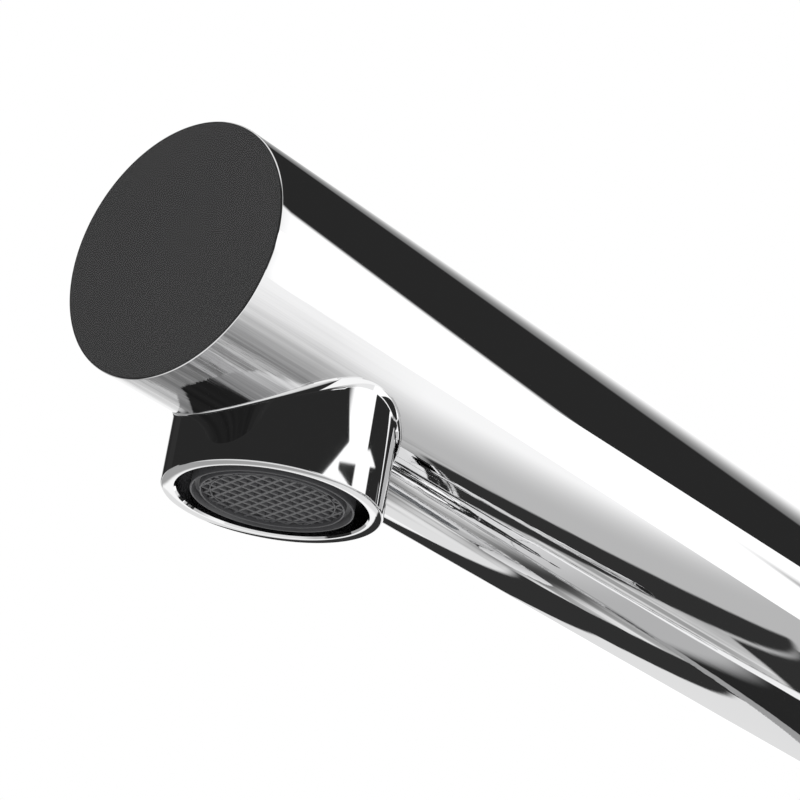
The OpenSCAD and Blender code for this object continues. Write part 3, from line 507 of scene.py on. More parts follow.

# %% [markdown]
# The belt that polishes the tube runs along it, so on the underside, which is hard to reach, fine
# streaks stay in the chrome, most of them before the boss. Inside the recess the chrome is darker
# and a little duller, and its darker colour is painted shade. Both are finishes of their own, and the faces
# are sorted by where they lie.


# %% Streaks under the spout, and the recess's painted shade
STREAK_TOP, STREAK_FULL = AXIS_Z - 0.006, AXIS_Z - 0.016
HAZE_START, HAZE_FULL, HAZE_COLOR = OUTLET_Y + 0.010, OUTLET_Y - 0.012, (0.45, 0.45, 0.455)
PLAIN, STREAKS, RECESS_SHADE = 0, 1, 2


def streak_finish():
    """Chrome whose grain and haze grow towards the underside of the tip."""
    material = finish("streaked_chrome", *CHROME, grain=(1000, 1, 0.012, 1), depth=0.035)
    tree = material.node_tree
    place = add_node(tree, "TexCoord").outputs["Object"]
    where = add_node(tree, "SeparateXYZ", {0: place}).outputs
    bump = next(n for n in tree.nodes if n.type == "BUMP")
    grain = next(n for n in tree.nodes if n.type == "GROUP" and n.node_tree == GRAIN)

    def spread(value, start, end, low=0.0, high=1.0):
        limits = {"Value": value, "From Min": start, "From Max": end, "To Min": low, "To Max": high}
        return add_node(tree, "MapRange", limits).outputs[0]

    def work(operation, *values):
        return add_node(tree, "Math", dict(enumerate(values)), operation=operation).outputs[0]

    lower = spread(where["Z"], STREAK_TOP, STREAK_FULL)
    tip = spread(where["Y"], HAZE_START, HAZE_FULL)
    strength = work("MULTIPLY", lower, work("MULTIPLY_ADD", tip, 0.9, 0.1))
    tree.links.new(strength, bump.inputs["Strength"])
    dull = spread(grain.outputs["Height"], 0.3, 0.6, 0.4, 1.0)
    haze = work("MULTIPLY", work("MULTIPLY", dull, tip), lower)
    mix = add_node(tree, "Mix", {0: haze, 6: (*CHROME_COLOR, 1), 7: (*HAZE_COLOR, 1)}, data_type="RGBA")
    tree.links.new(mix.outputs[2], tree.nodes["Principled BSDF"].inputs["Base Color"])
    return material


def tube_finish(face):
    """Which of the tube's finishes a face has, by its place and direction."""
    at = (face.center - Vector((0, OUTLET_Y, AXIS_Z))) / MM
    off_axis = Vector((at.x, 0, at.z))
    if abs(off_axis.length - BODY_R) < 0.05 and face.normal.z < 0 and face.normal.dot(off_axis) > BODY_R - 1:
        return STREAKS
    in_mouth = Vector((at.x, at.y)).length < MOUTH_R + 0.03 and at.z < -BOSS_TOP
    return RECESS_SHADE if in_mouth else PLAIN


STREAKED = streak_finish()
tube.data.materials.append(STREAKED)
# The recess's chrome has a darker colour: painted shade inside the recess.
tube.data.materials.append(finish("recess_shade_chrome", (0.22, 0.22, 0.225), 1, 0.16, marks=0.05, size=80))
for face in tube.data.polygons:
    face.material_index = tube_finish(face)
print("streaked faces", sum(face.material_index == STREAKS for face in tube.data.polygons))

# %% [markdown]
# The aerator is a moulded insert. Its face has two thin ridges with a groove between them, and
# inside them a plate with square pits, crossed by a fine ring. The plate is drawn as a grid whose
# faces are inset twice, the second time pushed inwards, so that each pit tapers as its mould
# needs. One plate is cut to the screen's disc, another to the border that belongs to the housing.

# %% Measures of the aerator's face, in millimetres
FACE_Z = (aerator_low.z - AXIS_Z) / MM
screen_low, screen_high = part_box("aerator_screen")
SCREEN_R = (screen_high.x - screen_low.x) / 2 / MM
PLATE_Z, PLATE_TOP = (screen_low.z - AXIS_Z) / MM + 0.35, (screen_high.z - AXIS_Z) / MM
PITCH, BAR, TAPER, PIT, CELLS, MESH_TURN = 1.82, 0.44, 0.14, 0.55, 14, -16
RING_R, BORDER_R, OUTER_R = 9.15, 10.4, (aerator_high.x - aerator_low.x) / 2 / MM
BORDER_IN, BORDER_OUT = SCREEN_R + 0.02, BORDER_R + 0.1
print("aerator face at", round(FACE_Z, 2), "plate at", round(PLATE_Z, 2), "to", round(PLATE_TOP, 2))


# %% A plate with square pits
def pitted_plate(name):
    """A grid that is thickened upwards and pitted from below, turned and laid in the outlet."""
    deselect()
    bpy.ops.mesh.primitive_grid_add(x_subdivisions=CELLS, y_subdivisions=CELLS, size=CELLS * PITCH * MM)
    plate = bpy.context.object
    plate.name = plate.data.name = name
    bpy.ops.object.mode_set(mode="EDIT")
    bpy.ops.mesh.select_all(action="SELECT")
    bpy.ops.mesh.extrude_region_move(TRANSFORM_OT_translate={"value": (0, 0, (PLATE_TOP - PLATE_Z) * MM)})
    outward(plate)
    bpy.ops.object.mode_set(mode="EDIT")
    bpy.ops.mesh.select_mode(type="FACE")
    bpy.ops.mesh.select_all(action="DESELECT")
    bpy.ops.object.mode_set(mode="OBJECT")
    for face in plate.data.polygons:
        face.select = face.normal.z < -0.9
    bpy.ops.object.mode_set(mode="EDIT")
    bpy.ops.mesh.inset(thickness=BAR / 2 * MM, use_individual=True)
    bpy.ops.mesh.inset(thickness=TAPER * MM, depth=-PIT * MM, use_individual=True)
    bpy.ops.mesh.select_mode(type="VERT")
    bpy.ops.object.mode_set(mode="OBJECT")
    place = Matrix.Translation((0, OUTLET_Y, AXIS_Z + PLATE_Z * MM))
    plate.matrix_world = place @ Matrix.Rotation(math.radians(MESH_TURN), 4, "Z")
    return settle(plate)


def punch(inner, outer):
    """A ring, or a disc, that is taller than the plate and cuts it to its outline."""
    tool = turned("punch", ring(inner, outer, PLATE_Z - 1, PLATE_TOP + 1), sides=128)
    return laid(tool, y=OUTLET_Y, z=AXIS_Z)


def fine_ring(radius, width=0.22, edge=0.08, stand=0.1):
    """A fine ring that stands out of the plate."""
    inner, outer, low, high = radius - width / 2, radius + width / 2, PLATE_Z - stand, PLATE_Z + stand
    made = turned("fine_ring", [(inner, high), (inner, low, edge), (outer, low, edge), (outer, high)],
                  sides=128, steps=3)
    return laid(made, y=OUTLET_Y, z=AXIS_Z)


# %% The aerator's screen
screen = pitted_plate("screen")
combine(screen, punch(0, SCREEN_R), "INTERSECT")
combine(screen, fine_ring(RING_R), "UNION")
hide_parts("aerator_screen")
wear(screen, "aerator_plastic", "column")

# %% The aerator's housing
LIP, LIP_EDGE, RIM_EDGE, GROOVE, GROOVE_EDGE, SLANT = 0.26, 0.1, 0.12, 1.1, 0.2, 0.35
LIP_Z, GROOVE_Z, TOP_Z = FACE_Z + 0.1, FACE_Z + GROOVE, (aerator_high.z - AXIS_Z) / MM
housing = turned("aerator_ring", [
    (BORDER_IN, PLATE_TOP), (BORDER_R, PLATE_TOP), (BORDER_R, LIP_Z, LIP_EDGE),
    (BORDER_R + LIP, LIP_Z, LIP_EDGE), (BORDER_R + LIP + LIP_EDGE, GROOVE_Z),
    (OUTER_R - LIP - SLANT, GROOVE_Z, GROOVE_EDGE),
    (OUTER_R - LIP, FACE_Z, LIP_EDGE), (OUTER_R, FACE_Z, RIM_EDGE), (OUTER_R, TOP_Z), (BORDER_IN, TOP_Z),
], sides=192, steps=3)
laid(housing, y=OUTLET_Y, z=AXIS_Z)
border = pitted_plate("border")
combine(border, punch(BORDER_IN, BORDER_OUT), "INTERSECT")
combine(housing, border, "UNION")
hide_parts("aerator_housing")
wear(smooth(housing, 30), "aerator_plastic", "column")
print("housing faces", len(housing.data.polygons))

# %% [markdown]
# The end of the spout is closed by a round plate that is brazed in and turned flush, so its side
# is polished with the tube and only its face keeps the fine grain of the grinding. It is turned
# as a disc with a very small round edge, and its faces are sorted by the way they look.

# %% The spout's end plate
PLATE_T, FACE_EDGE = FRONT_Y - TIP_Y / MM, 0.25
face_z = -TIP_Y / MM
plate = turned("end_plate", ring(0, BODY_R, face_z, face_z - PLATE_T, foot=FACE_EDGE), sides=256, steps=6)
weigh(laid(plate, TO_FRONT, z=AXIS_Z))
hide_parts("spout_end_plate")
wear(plate, "chrome", "column")
plate.data.materials.append(FINISHES["ground_chrome"])
plate.data.materials.append(STREAKED)
GROUND, UNDERSIDE = 1, 2
for face in plate.data.polygons:
    below = abs(face.normal.y) < 0.1 and face.normal.z < 0
    face.material_index = GROUND if face.normal.y < -0.999 else UNDERSIDE if below else PLAIN
print("end plate", round(PLATE_T, 2), "mm thick")

# %% [markdown]
# ## The rest of the polished chrome
#
# Column, head, mixer, handle, diverter knob, hose outlet, holder and hand shower are lathe work as
# well, plated and polished like the spout. The CAD gives them few flats for a mirror, so each is
# turned again with many sides. Cross holes are cut by rods, and slots by bars with round ends.
# After a cut, the faces on the known cylinders are told their exact direction.


# %% Rods, blocks and bars that cut
def rod(radius, low, high, turn=None, x=0, y=0, z=0, sides=64):
    """A plain rod from low to high along its axis, all in millimetres."""
    return laid(turned("rod", ring(0, radius, low, high), sides), turn, x * MM, y * MM, z * MM)


def block(width, depth, low, high, x=0, y=0):
    """A block with square edges, upright over x and y, all in millimetres."""
    deselect()
    bpy.ops.mesh.primitive_cube_add(size=1, location=(x * MM, y * MM, (low + high) / 2 * MM),
                                    scale=(width * MM, depth * MM, (high - low) * MM))
    return settle(bpy.context.object)


def bar(width, length, low, high):
    """An upright bar with round ends, its length along Y."""
    piece = block(width, length, low, high)
    bpy.ops.object.mode_set(mode="EDIT")
    bpy.ops.mesh.select_mode(type="EDGE")
    bpy.ops.mesh.select_all(action="DESELECT")
    bpy.ops.object.mode_set(mode="OBJECT")
    for edge in piece.data.edges:
        a, b = (piece.data.vertices[i].co for i in edge.vertices)
        edge.select = abs(a.z - b.z) > MM
    bpy.ops.object.mode_set(mode="EDIT")
    bpy.ops.mesh.bevel(offset=width * 0.4999 * MM, segments=24, profile=0.5, affect="EDGES")
    bpy.ops.mesh.select_mode(type="VERT")
    return outward(piece)


# %% Exact rounds, and the last steps of a piece
def true_rounds(piece, *rounds):
    """Exact directions for the faces on cylinders (axis, centre, radius), in millimetres."""
    mesh = piece.data
    wanted = [normal.vector.copy() for normal in mesh.corner_normals]
    for face in mesh.polygons:
        for corner in face.loop_indices:
            for axis, centre, radius in rounds:
                out = mesh.vertices[mesh.loops[corner].vertex_index].co / MM - Vector(centre)
                out -= out.dot(axis) * axis
                if abs(out.length - radius) < 0.02 and face.normal.dot(out.normalized()) > 0.98:
                    wanted[corner] = out.normalized()
    mesh.normals_split_custom_set(wanted)
    return piece


def replace(piece, node, body, *rounds):
    """Shades the new piece, puts it in the CAD node's place and gives it its finish and body."""
    weigh(smooth(outward(piece), 30))
    true_rounds(piece, *rounds)
    piece.name = piece.data.name = node + "_turned"
    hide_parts(node)
    wear(piece, "chrome", body)
    print(piece.name, "faces", len(piece.data.polygons))
    return piece


# %% Measures of the column and the mixer, in millimetres
SEAT, SEAM, SOFT, EDGE = 0.05, 0.2, 0.3, 0.5
SIDES, FINE_SIDES = 192, 256
SHAFT_R, SHAFT_BORE, HEAD_BORE = 25, 23.5, 23
FLANGE_TOP, MIXER_LOW, MIXER_HIGH, HEAD_TOP, CAP_T = 8, 595, 710, 877, 3
STUB_Z, DIVERTER_Z, HOSE_Z, HOLDER_Z = 635, 680, 610, 530
STUB_R, STUB_END, PAD_R, PAD_END, ELBOW_R, ELBOW_PAD_END = 22, 38, 15, 28, 11, 27
SCREWS, SCREW_Z, WALL_IN, WALL_OUT = 3, 13, 12, 27
UP, ALONG_X, ALONG_Y = Vector((0, 0, 1)), Vector((1, 0, 0)), Vector((0, 1, 0))
SHAFT_ROUND, STUB_ROUND = (UP, (0, 0, 0), SHAFT_R), (ALONG_X, (0, 0, STUB_Z), STUB_R)
PAD_ROUND, ELBOW_ROUND = (ALONG_Y, (0, 0, DIVERTER_Z), PAD_R), (ALONG_Y, (0, 0, HOSE_Z), ELBOW_R)

# %% [markdown]
# The column and the head are tubes with small round edges, so that each joint shows as a fine
# line. The head has a hole for the spout and is closed by a cap. Each outline is drawn as points
# of radius and height in millimetres, and a third number is the radius of a rounded corner.


# %% Column, head, cap and floor cover
def cap(radius, bore, low, sides):
    """A cap with a spigot, on a tube that ends at this height."""
    spigot_r = bore - SEAT
    return turned("cap", [
        (0, low - CAP_T), (spigot_r, low - CAP_T), (spigot_r, low), (radius, low, SOFT),
        (radius, low + CAP_T, EDGE), (0, low + CAP_T),
    ], sides)


column = turned("column", [
    (SHAFT_BORE, FLANGE_TOP), (SHAFT_R, FLANGE_TOP), (SHAFT_R, 24), (SHAFT_R, HOLDER_Z - 12),
    (SHAFT_R, HOLDER_Z + 12), (SHAFT_R, MIXER_LOW, SEAM), (SHAFT_BORE, MIXER_LOW),
], SIDES)
for k in range(SCREWS):
    spin = Matrix.Rotation(TURN * k / SCREWS + TURN / 4, 4, "Z") @ TO_RIGHT
    cut(column, rod(2.55, WALL_IN, WALL_OUT, spin, z=SCREW_Z))
cut(column, rod(3.1, WALL_IN, WALL_OUT, TO_LEFT, z=HOLDER_Z))
replace(column, "column_tube", "column", SHAFT_ROUND)

head = turned("head", ring(HEAD_BORE, SHAFT_R, MIXER_HIGH, HEAD_TOP, SEAM, SEAM), FINE_SIDES)
cut(head, rod(BODY_R + SEAT, 0, 30, TO_FRONT, z=AXIS_Z / MM, sides=SIDES))
replace(head, "head_shell", "column", SHAFT_ROUND)
replace(cap(SHAFT_R, HEAD_BORE, HEAD_TOP, FINE_SIDES), "head_cap", "column")

cover = turned("cover", [
    (71, 0), (73, 0), (73, 20, 3), (SHAFT_R + 0.1, 20), (SHAFT_R + 0.1, 18), (71, 18, 1),
], FINE_SIDES, steps=12)
replace(cover, "floor_cover", "column")

# %% [markdown]
# The mixer body is a brass casting, bored for the cartridge, the diverter and the water's ways.
# Outside it is the column's own cylinder with three round bosses, joined by booleans.

# %% Mixer body
mixer = turned("mixer", [
    (0, 565), (SHAFT_BORE - SEAT, 565), (SHAFT_BORE - SEAT, MIXER_LOW), (SHAFT_R, MIXER_LOW, SEAM),
    (SHAFT_R, MIXER_HIGH, SEAM), (HEAD_BORE - SEAT, MIXER_HIGH), (HEAD_BORE - SEAT, 722), (0, 722),
], SIDES)
for radius, end, turn, z in (
    (STUB_R, STUB_END, TO_RIGHT, STUB_Z),
    (PAD_R, PAD_END, TO_FRONT, DIVERTER_Z),
    (ELBOW_R, ELBOW_PAD_END, TO_BACK, HOSE_Z),
):
    boss = turned("boss", ring(0, radius, 0, end, SOFT), SIDES)
    combine(mixer, laid(boss, turn, z=z * MM), "UNION")

# %% Bores of the mixer body
CHANNEL_R, SUPPLY_Y, PORT_Y, BIG_BORE = 3.5, 10.5, 8.5, 6
# Rows: radius, low, high, direction, then the place x, y, z
BORES = [
    # cavity of the cartridge, and its nut
    (17.55, 10, STUB_END + 1, TO_RIGHT, 0, 0, STUB_Z),
    (19.05, 30, STUB_END + 1, TO_RIGHT, 0, 0, STUB_Z),
    # housing and rotor of the diverter
    (8.05, 6, PAD_END + 1, TO_FRONT, 0, 0, DIVERTER_Z),
    (7.08, -8, 7, TO_FRONT, 0, 0, DIVERTER_Z),
    # plug of the hose outlet
    (8.05, 17, ELBOW_PAD_END + 1, TO_BACK, 0, 0, HOSE_Z),
    # mixed water up to the diverter and on to the spout
    (CHANNEL_R, STUB_Z + 8, DIVERTER_Z, None, 0, 0, 0),
    (CHANNEL_R, DIVERTER_Z, 723, None, 0, 0, 0),
    (7.05, 714, 723, None, 0, 0, 0),
    (CHANNEL_R, -CHANNEL_R, 11, TO_RIGHT, 0, 0, STUB_Z + 8),
    # from the diverter down to the hose outlet
    (CHANNEL_R, HOSE_Z, DIVERTER_Z, None, -6, 17.5, 0),
    (CHANNEL_R, 0, 17.5, TO_BACK, -3, 0, DIVERTER_Z),
]
for s in (-1, 1):
    BORES += [
        # socket, seal, channel and port of a supply
        (6.05, 564, 575, None, 0, s * SUPPLY_Y, 0),
        (7.8, 564, 566.8, None, 0, s * SUPPLY_Y, 0),
        (CHANNEL_R, 565, STUB_Z - 4, None, 0, s * SUPPLY_Y, 0),
        (CHANNEL_R, 0, 11, TO_RIGHT, 0, s * PORT_Y, STUB_Z - 4),
    ]
for radius, low, high, turn, x, y, z in BORES:
    cut(mixer, rod(radius, low, high, turn, x, y, z, sides=96 if radius > BIG_BORE else 32))
replace(mixer, "mixer_body", "column", SHAFT_ROUND, STUB_ROUND, PAD_ROUND, ELBOW_ROUND)

# %% [markdown]
# The handle is a sleeve that turns on the stub, with a slot in which the lever tilts. The lever
# is a plain rod. The diverter's knob is a hollow turned cap, with a pin that points the way.

# %% Sleeve and lever
SLEEVE_LOW, SLEEVE_END, SLOT_NEAR, SLOT_FAR, SLOT_W, LEVER_X = 38.6, 70.19, 47.4, 65.19, 9.2, 52
sleeve = turned("sleeve", [
    (20, SLEEVE_LOW), (STUB_R, SLEEVE_LOW, EDGE), (STUB_R, SLEEVE_END, EDGE), (0, SLEEVE_END),
    (0, SLEEVE_END - 3), (20, SLEEVE_END - 3),
], FINE_SIDES)
laid(sleeve, TO_RIGHT, z=STUB_Z * MM)
slot = laid(bar(SLOT_W, SLOT_FAR - SLOT_NEAR, 0, STUB_R + 2), Matrix.Rotation(TURN / 4, 4, "Z"))
laid(slot, x=(SLOT_NEAR + SLOT_FAR) / 2 * MM, z=STUB_Z * MM)
cut(sleeve, slot, rod(1.75, STUB_Z - STUB_R - 2, STUB_Z, x=LEVER_X))
replace(sleeve, "handle_sleeve", "handle", STUB_ROUND)

stick = turned("stick", [
    (0, 3.6), (2.95, 3.6), (2.95, 6.5), (4, 6.5, 0.4), (4, 100, EDGE), (0, 100),
], sides=128)
replace(laid(stick, x=LEVER_X * MM, z=STUB_Z * MM), "lever", "lever")

# %% Diverter knob and pointer
POINTER_Y, POINTER_R, GRUB_Y, GRUB_R = -40.6, 2.5, -44.2, 1.8
knob = turned("knob", [
    (12, 28.6), (PAD_R, 28.6, EDGE), (PAD_R, 52.6, EDGE), (0, 52.6), (0, 48.4), (3.05, 48.4),
    (3.05, 33.2), (6, 33.2), (6, 49.6), (12, 49.6),
], FINE_SIDES)
laid(knob, TO_FRONT, z=DIVERTER_Z * MM)
cut(knob, rod(POINTER_R + SEAT, 6, PAD_R + 1, y=POINTER_Y, z=DIVERTER_Z),
    rod(GRUB_R, -PAD_R - 1, -2, y=GRUB_Y, z=DIVERTER_Z))
replace(knob, "diverter_knob", "diverter", PAD_ROUND)
pin = laid(turned("pin", ring(0, POINTER_R, 12, 30, EDGE)), y=POINTER_Y * MM, z=DIVERTER_Z * MM)
replace(pin, "diverter_pointer", "diverter")

# %% [markdown]
# The hose outlet and the hand shower end in pipe threads. A thread is cut on the lathe by a tool
# that travels as the piece turns. The Screw modifier does the same: it carries the outline of one
# turn round the axis while it climbs by one pitch.

# %% A pipe thread
THREAD_R, THREAD_PITCH, THREAD_CORE, PUNCH_IN, PUNCH_OUT = 10.48, 1.814, 1.16, 8, 11
TOOTH = [(-1.2, 0), (-0.2, 0.65), (0, 0.85), (-0.2, 1.05), (-1.2, 1.7)]


def thread(low, high, bore):
    """A bored core with a rounded helical ridge, cut off flat at both ends."""
    piece = drawn("thread", [(THREAD_R + r, low - THREAD_PITCH + z) for r, z in TOOTH])
    bpy.ops.object.mode_set(mode="OBJECT")
    climb = piece.modifiers.new("climb", "SCREW")
    climb.axis, climb.angle, climb.screw_offset = "Z", TURN, THREAD_PITCH * MM
    climb.iterations = math.ceil((high - low) / THREAD_PITCH) + 2
    climb.steps = climb.render_steps = 72
    bpy.ops.object.modifier_apply(modifier=climb.name)
    bpy.ops.object.mode_set(mode="EDIT")
    bpy.ops.mesh.select_all(action="SELECT")
    bpy.ops.mesh.fill_holes(sides=6)
    bpy.ops.object.mode_set(mode="OBJECT")
    outward(piece)
    combine(piece, turned("tool", ring(PUNCH_IN, PUNCH_OUT, low, high)), "INTERSECT")
    return combine(turned("core", ring(bore, THREAD_R - THREAD_CORE, low, high)), piece, "UNION")


# %% Hose outlet
ELBOW_Y, ELBOW_LEG, ELBOW_BORE, ELBOW_FOOT, CAGE_BORE, ELBOW_PLUG = 45, 14, 5.5, -28, 7.55, 17


def dome(radius, steps):
    """Points of a quarter circle from the side of a dome to its top."""
    angles = [TURN / 4 * k / steps for k in range(1, steps)]
    return [(radius * math.cos(a), radius * math.sin(a)) for a in angles] + [(0, radius)]


elbow = turned("elbow", [
    (0, -ELBOW_LEG), (ELBOW_R, -ELBOW_LEG, SOFT), (ELBOW_R, 0), *dome(ELBOW_R, 16),
], SIDES)
laid(elbow, y=ELBOW_Y * MM, z=HOSE_Z * MM)
arm = turned("arm", [
    (0, ELBOW_PLUG), (8, ELBOW_PLUG), (8, ELBOW_PAD_END), (ELBOW_R, ELBOW_PAD_END, SOFT),
    (ELBOW_R, ELBOW_Y), (0, ELBOW_Y),
], SIDES)
combine(elbow, laid(arm, TO_BACK, z=HOSE_Z * MM), "UNION")
bore = turned("bore", [
    (0, -ELBOW_LEG - 1), (ELBOW_BORE, -ELBOW_LEG - 1), (ELBOW_BORE, 0), *dome(ELBOW_BORE, 8),
], sides=64)
laid(bore, y=ELBOW_Y * MM, z=HOSE_Z * MM)
cut(elbow, bore, rod(ELBOW_BORE, ELBOW_PLUG - 1, ELBOW_Y, TO_BACK, z=HOSE_Z))
outlet_thread = thread(ELBOW_FOOT, 0.1 - ELBOW_LEG, CAGE_BORE)
combine(elbow, laid(outlet_thread, y=ELBOW_Y * MM, z=HOSE_Z * MM), "UNION")
replace(elbow, "hose_outlet_elbow", "column", (UP, (0, ELBOW_Y, HOSE_Z), ELBOW_R), ELBOW_ROUND)

# %% [markdown]
# The hand shower is a tube that narrows to its thread, with an opening for the spray plate. It
# stands in a slotted cup, which turns on a screw in the end of the holder's arm.

# %% Measures of the hand shower and its holder, in millimetres
HAND_X, HAND_R, HAND_BORE, HAND_LOW, CONE_TOP, TUBE_TOP = -62, 12.5, 10.5, 510, 550, 707
PLUG_R, PLUG_TOP, NIPPLE_LOW, NIPPLE_BORE = 8, 524, 496, 5
SPRAY_W, SPRAY_H, SPRAY_Z = 11.1, 54.1, 672
ARM_R, ARM_LOW, ARM_END, CUP_R, CUP_LOW, CUP_TOP, CUP_SLOT_W = 8, 12.5, 42, 17, 516, 544, 16
HAND_CENTRE, ARM_ROUND = (HAND_X, 0, 0), (ALONG_X, (0, 0, HOLDER_Z), ARM_R)

# %% Hand shower
wand = turned("wand", [
    (PLUG_R + SEAT, HAND_LOW), (10.9, HAND_LOW, EDGE), (HAND_R, CONE_TOP, 4), (HAND_R, 630),
    (HAND_R, TUBE_TOP, 0.15), (HAND_BORE, TUBE_TOP), (HAND_BORE, CONE_TOP), (PLUG_R + SEAT, CONE_TOP),
], SIDES, steps=8)
laid(wand, x=HAND_X * MM)
cut(wand, laid(bar(SPRAY_W, SPRAY_H, 0, HAND_R + 1.5), TO_FRONT, x=HAND_X * MM, z=SPRAY_Z * MM))
replace(wand, "handset_body", "hand_shower", (UP, HAND_CENTRE, HAND_R))
wand_cap = laid(cap(HAND_R, HAND_BORE, TUBE_TOP, SIDES), x=HAND_X * MM)
replace(wand_cap, "handset_cap", "hand_shower")
plug = turned("plug", ring(NIPPLE_BORE, PLUG_R, HAND_LOW - 0.5, PLUG_TOP))
nipple = combine(thread(NIPPLE_LOW, HAND_LOW, NIPPLE_BORE), plug, "UNION")
replace(laid(nipple, x=HAND_X * MM), "handset_nipple", "hand_shower")

# %% Holder arm and cradle
arm = rod(ARM_R, ARM_LOW, ARM_END, TO_LEFT, z=HOLDER_Z, sides=SIDES)
cut(arm, rod(3.05, 0, 33.15, TO_LEFT, z=HOLDER_Z), rod(2.55, 30.15, ARM_END + 1, TO_LEFT, z=HOLDER_Z),
    rod(SHAFT_R + SEAT, HOLDER_Z - 2 * ARM_R, HOLDER_Z + 2 * ARM_R, sides=SIDES))
replace(arm, "holder_arm", "column", ARM_ROUND)

cup = laid(turned("cup", ring(0, CUP_R, CUP_LOW, CUP_TOP, 1, 1), FINE_SIDES, steps=8), x=HAND_X * MM)
combine(cup, rod(ARM_R, ARM_END + 1.05, -HAND_X, TO_LEFT, z=HOLDER_Z, sides=SIDES), "UNION")
cone = turned("cone", [(0, CUP_LOW - 1), (11.4, CUP_LOW - 1), (12.6, CUP_TOP + 1), (0, CUP_TOP + 1)], SIDES)
cut(cup, laid(cone, x=HAND_X * MM),
    block(CUP_SLOT_W, 2 * CUP_R, CUP_LOW - 14, CUP_TOP + 14, HAND_X, -CUP_R),
    rod(2.58, ARM_END, -HAND_X, TO_LEFT, z=HOLDER_Z), rod(3.96, 46.2, -HAND_X, TO_LEFT, z=HOLDER_Z))
replace(cup, "handset_cradle", "cradle", (UP, HAND_CENTRE, CUP_R), ARM_ROUND)

# %% [markdown]
# ## Camera and studio
#
# The camera stands low, in front of the spout and to its right, and looks up along it, as in the
# photo. Its place comes from fitting the outlines of the end face, the tube and the outlet.

# %% Camera
camera = bpy.data.objects.new("camera", bpy.data.cameras.new("camera"))
scene.collection.objects.link(camera)
camera.data.lens = 136.57
camera.data.clip_start = 0.01
look_right, look_up = Vector((0.7746, 0.6136, 0.1533)), Vector((0.1212, -0.3820, 0.9162))
look = Matrix((look_right, look_up, look_right.cross(look_up))).transposed().to_4x4()
camera.matrix_world = Matrix.Translation((0.287874, -0.496860, 0.676888)) @ look
scene.camera = camera
scene.view_settings.view_transform = "Standard"
print("camera at", [round(c, 3) for c in camera.location], "lens", camera.data.lens)

# %% [markdown]
# Chrome shows the studio rather than itself. The studio here is a pale room with one tall white
# panel to the right of the spout, a dark wall in front and above, and a pale wall behind. It is
# painted into the world by direction, and only mirror rays see it: the camera sees plain white,
# and matt surfaces get an even, soft light. The painting is arithmetic on shader values, so a
# small painter holds the steps that the room and the floor share.


# %% A painter for light levels
class Painter:
    """Arithmetic on the values of one shader tree."""

    def __init__(self, tree):
        self.tree = tree

    def math(self, operation, *values):
        return add_node(self.tree, "Math", dict(enumerate(values)), operation=operation).outputs[0]

    def ramp(self, value, start, end, low=0.0, high=1.0):
        """Goes softly from low to high as the value goes from start to end."""
        return add_node(self.tree, "MapRange",
                        {"Value": value, "From Min": start, "From Max": end, "To Min": low, "To Max": high},
                        interpolation_type="SMOOTHSTEP").outputs[0]

    def both(self, *masks):
        """The part that all these masks share."""
        shared = masks[0]
        for mask in masks[1:]:
            shared = self.math("MULTIPLY", shared, mask)
        return shared

    def over(self, base, level, mask):
        """Paints this level over the base where the mask is 1."""
        return self.math("ADD", base, self.math("MULTIPLY", mask, self.math("SUBTRACT", level, base)))

    def layer(self, base, level, *edges):
        """Paints this level over the base inside its soft edges (value, start, end)."""
        return self.over(base, level, self.both(*(self.ramp(*edge) for edge in edges)))


# %% The room by direction
world = bpy.data.worlds.new("studio")
world.use_nodes = True
scene.world = world
room = world.node_tree
room.nodes.clear()
paint = Painter(room)
direction = add_node(room, "TexCoord").outputs["Generated"]
along = add_node(room, "SeparateXYZ", {0: direction}).outputs
DEGREE = 180 / math.pi
height = paint.math("MULTIPLY", paint.math("ARCSINE", along["Z"]), DEGREE)
bearing = paint.math("MULTIPLY", paint.math("ARCTAN2", along["Y"], along["X"]), DEGREE)
around = paint.math("MULTIPLY", paint.math("ARCTAN2", along["Z"], along["X"]), DEGREE)
facing = along["Y"]
band = paint.math("MULTIPLY_ADD", paint.math("SUBTRACT", facing, 0.626), 243, around)
lean = paint.math("MINIMUM", paint.math("MAXIMUM", paint.math("MULTIPLY_ADD", height, -11, 253), 12), 24)
foot = paint.math("MULTIPLY_ADD", height, 35, -703.5)
beyond = paint.math("SUBTRACT", bearing, paint.math("MINIMUM", lean, foot))
aside = paint.math("ABSOLUTE", paint.math("SUBTRACT", height, 21.4))
past = paint.math("MAXIMUM", paint.math("SUBTRACT", bearing, 55), 0)
slope = paint.math("MULTIPLY_ADD", past, 0.022, height)
slit = (height, 20.41, 20.37), (paint.math("MULTIPLY_ADD", bearing, 0.016, height), 20.49, 20.53)

# %% The panels and walls of the room
DARK, DIM, BRIGHT = 0.022, 0.03, 1.15
panel = paint.layer(paint.ramp(facing, 0.625, 0.655, 0.86, BRIGHT), BRIGHT, (aside, 1.3, 0.9))
back = paint.layer(paint.ramp(band, 120, 165, 0.18, 1.1), DARK, (band, 53, 57), (band, 124, 120))
back = paint.layer(back, panel, (band, 57, 53), (beyond, -1, 1))
level = paint.ramp(height, 22.5, 27, DIM, 0.115)
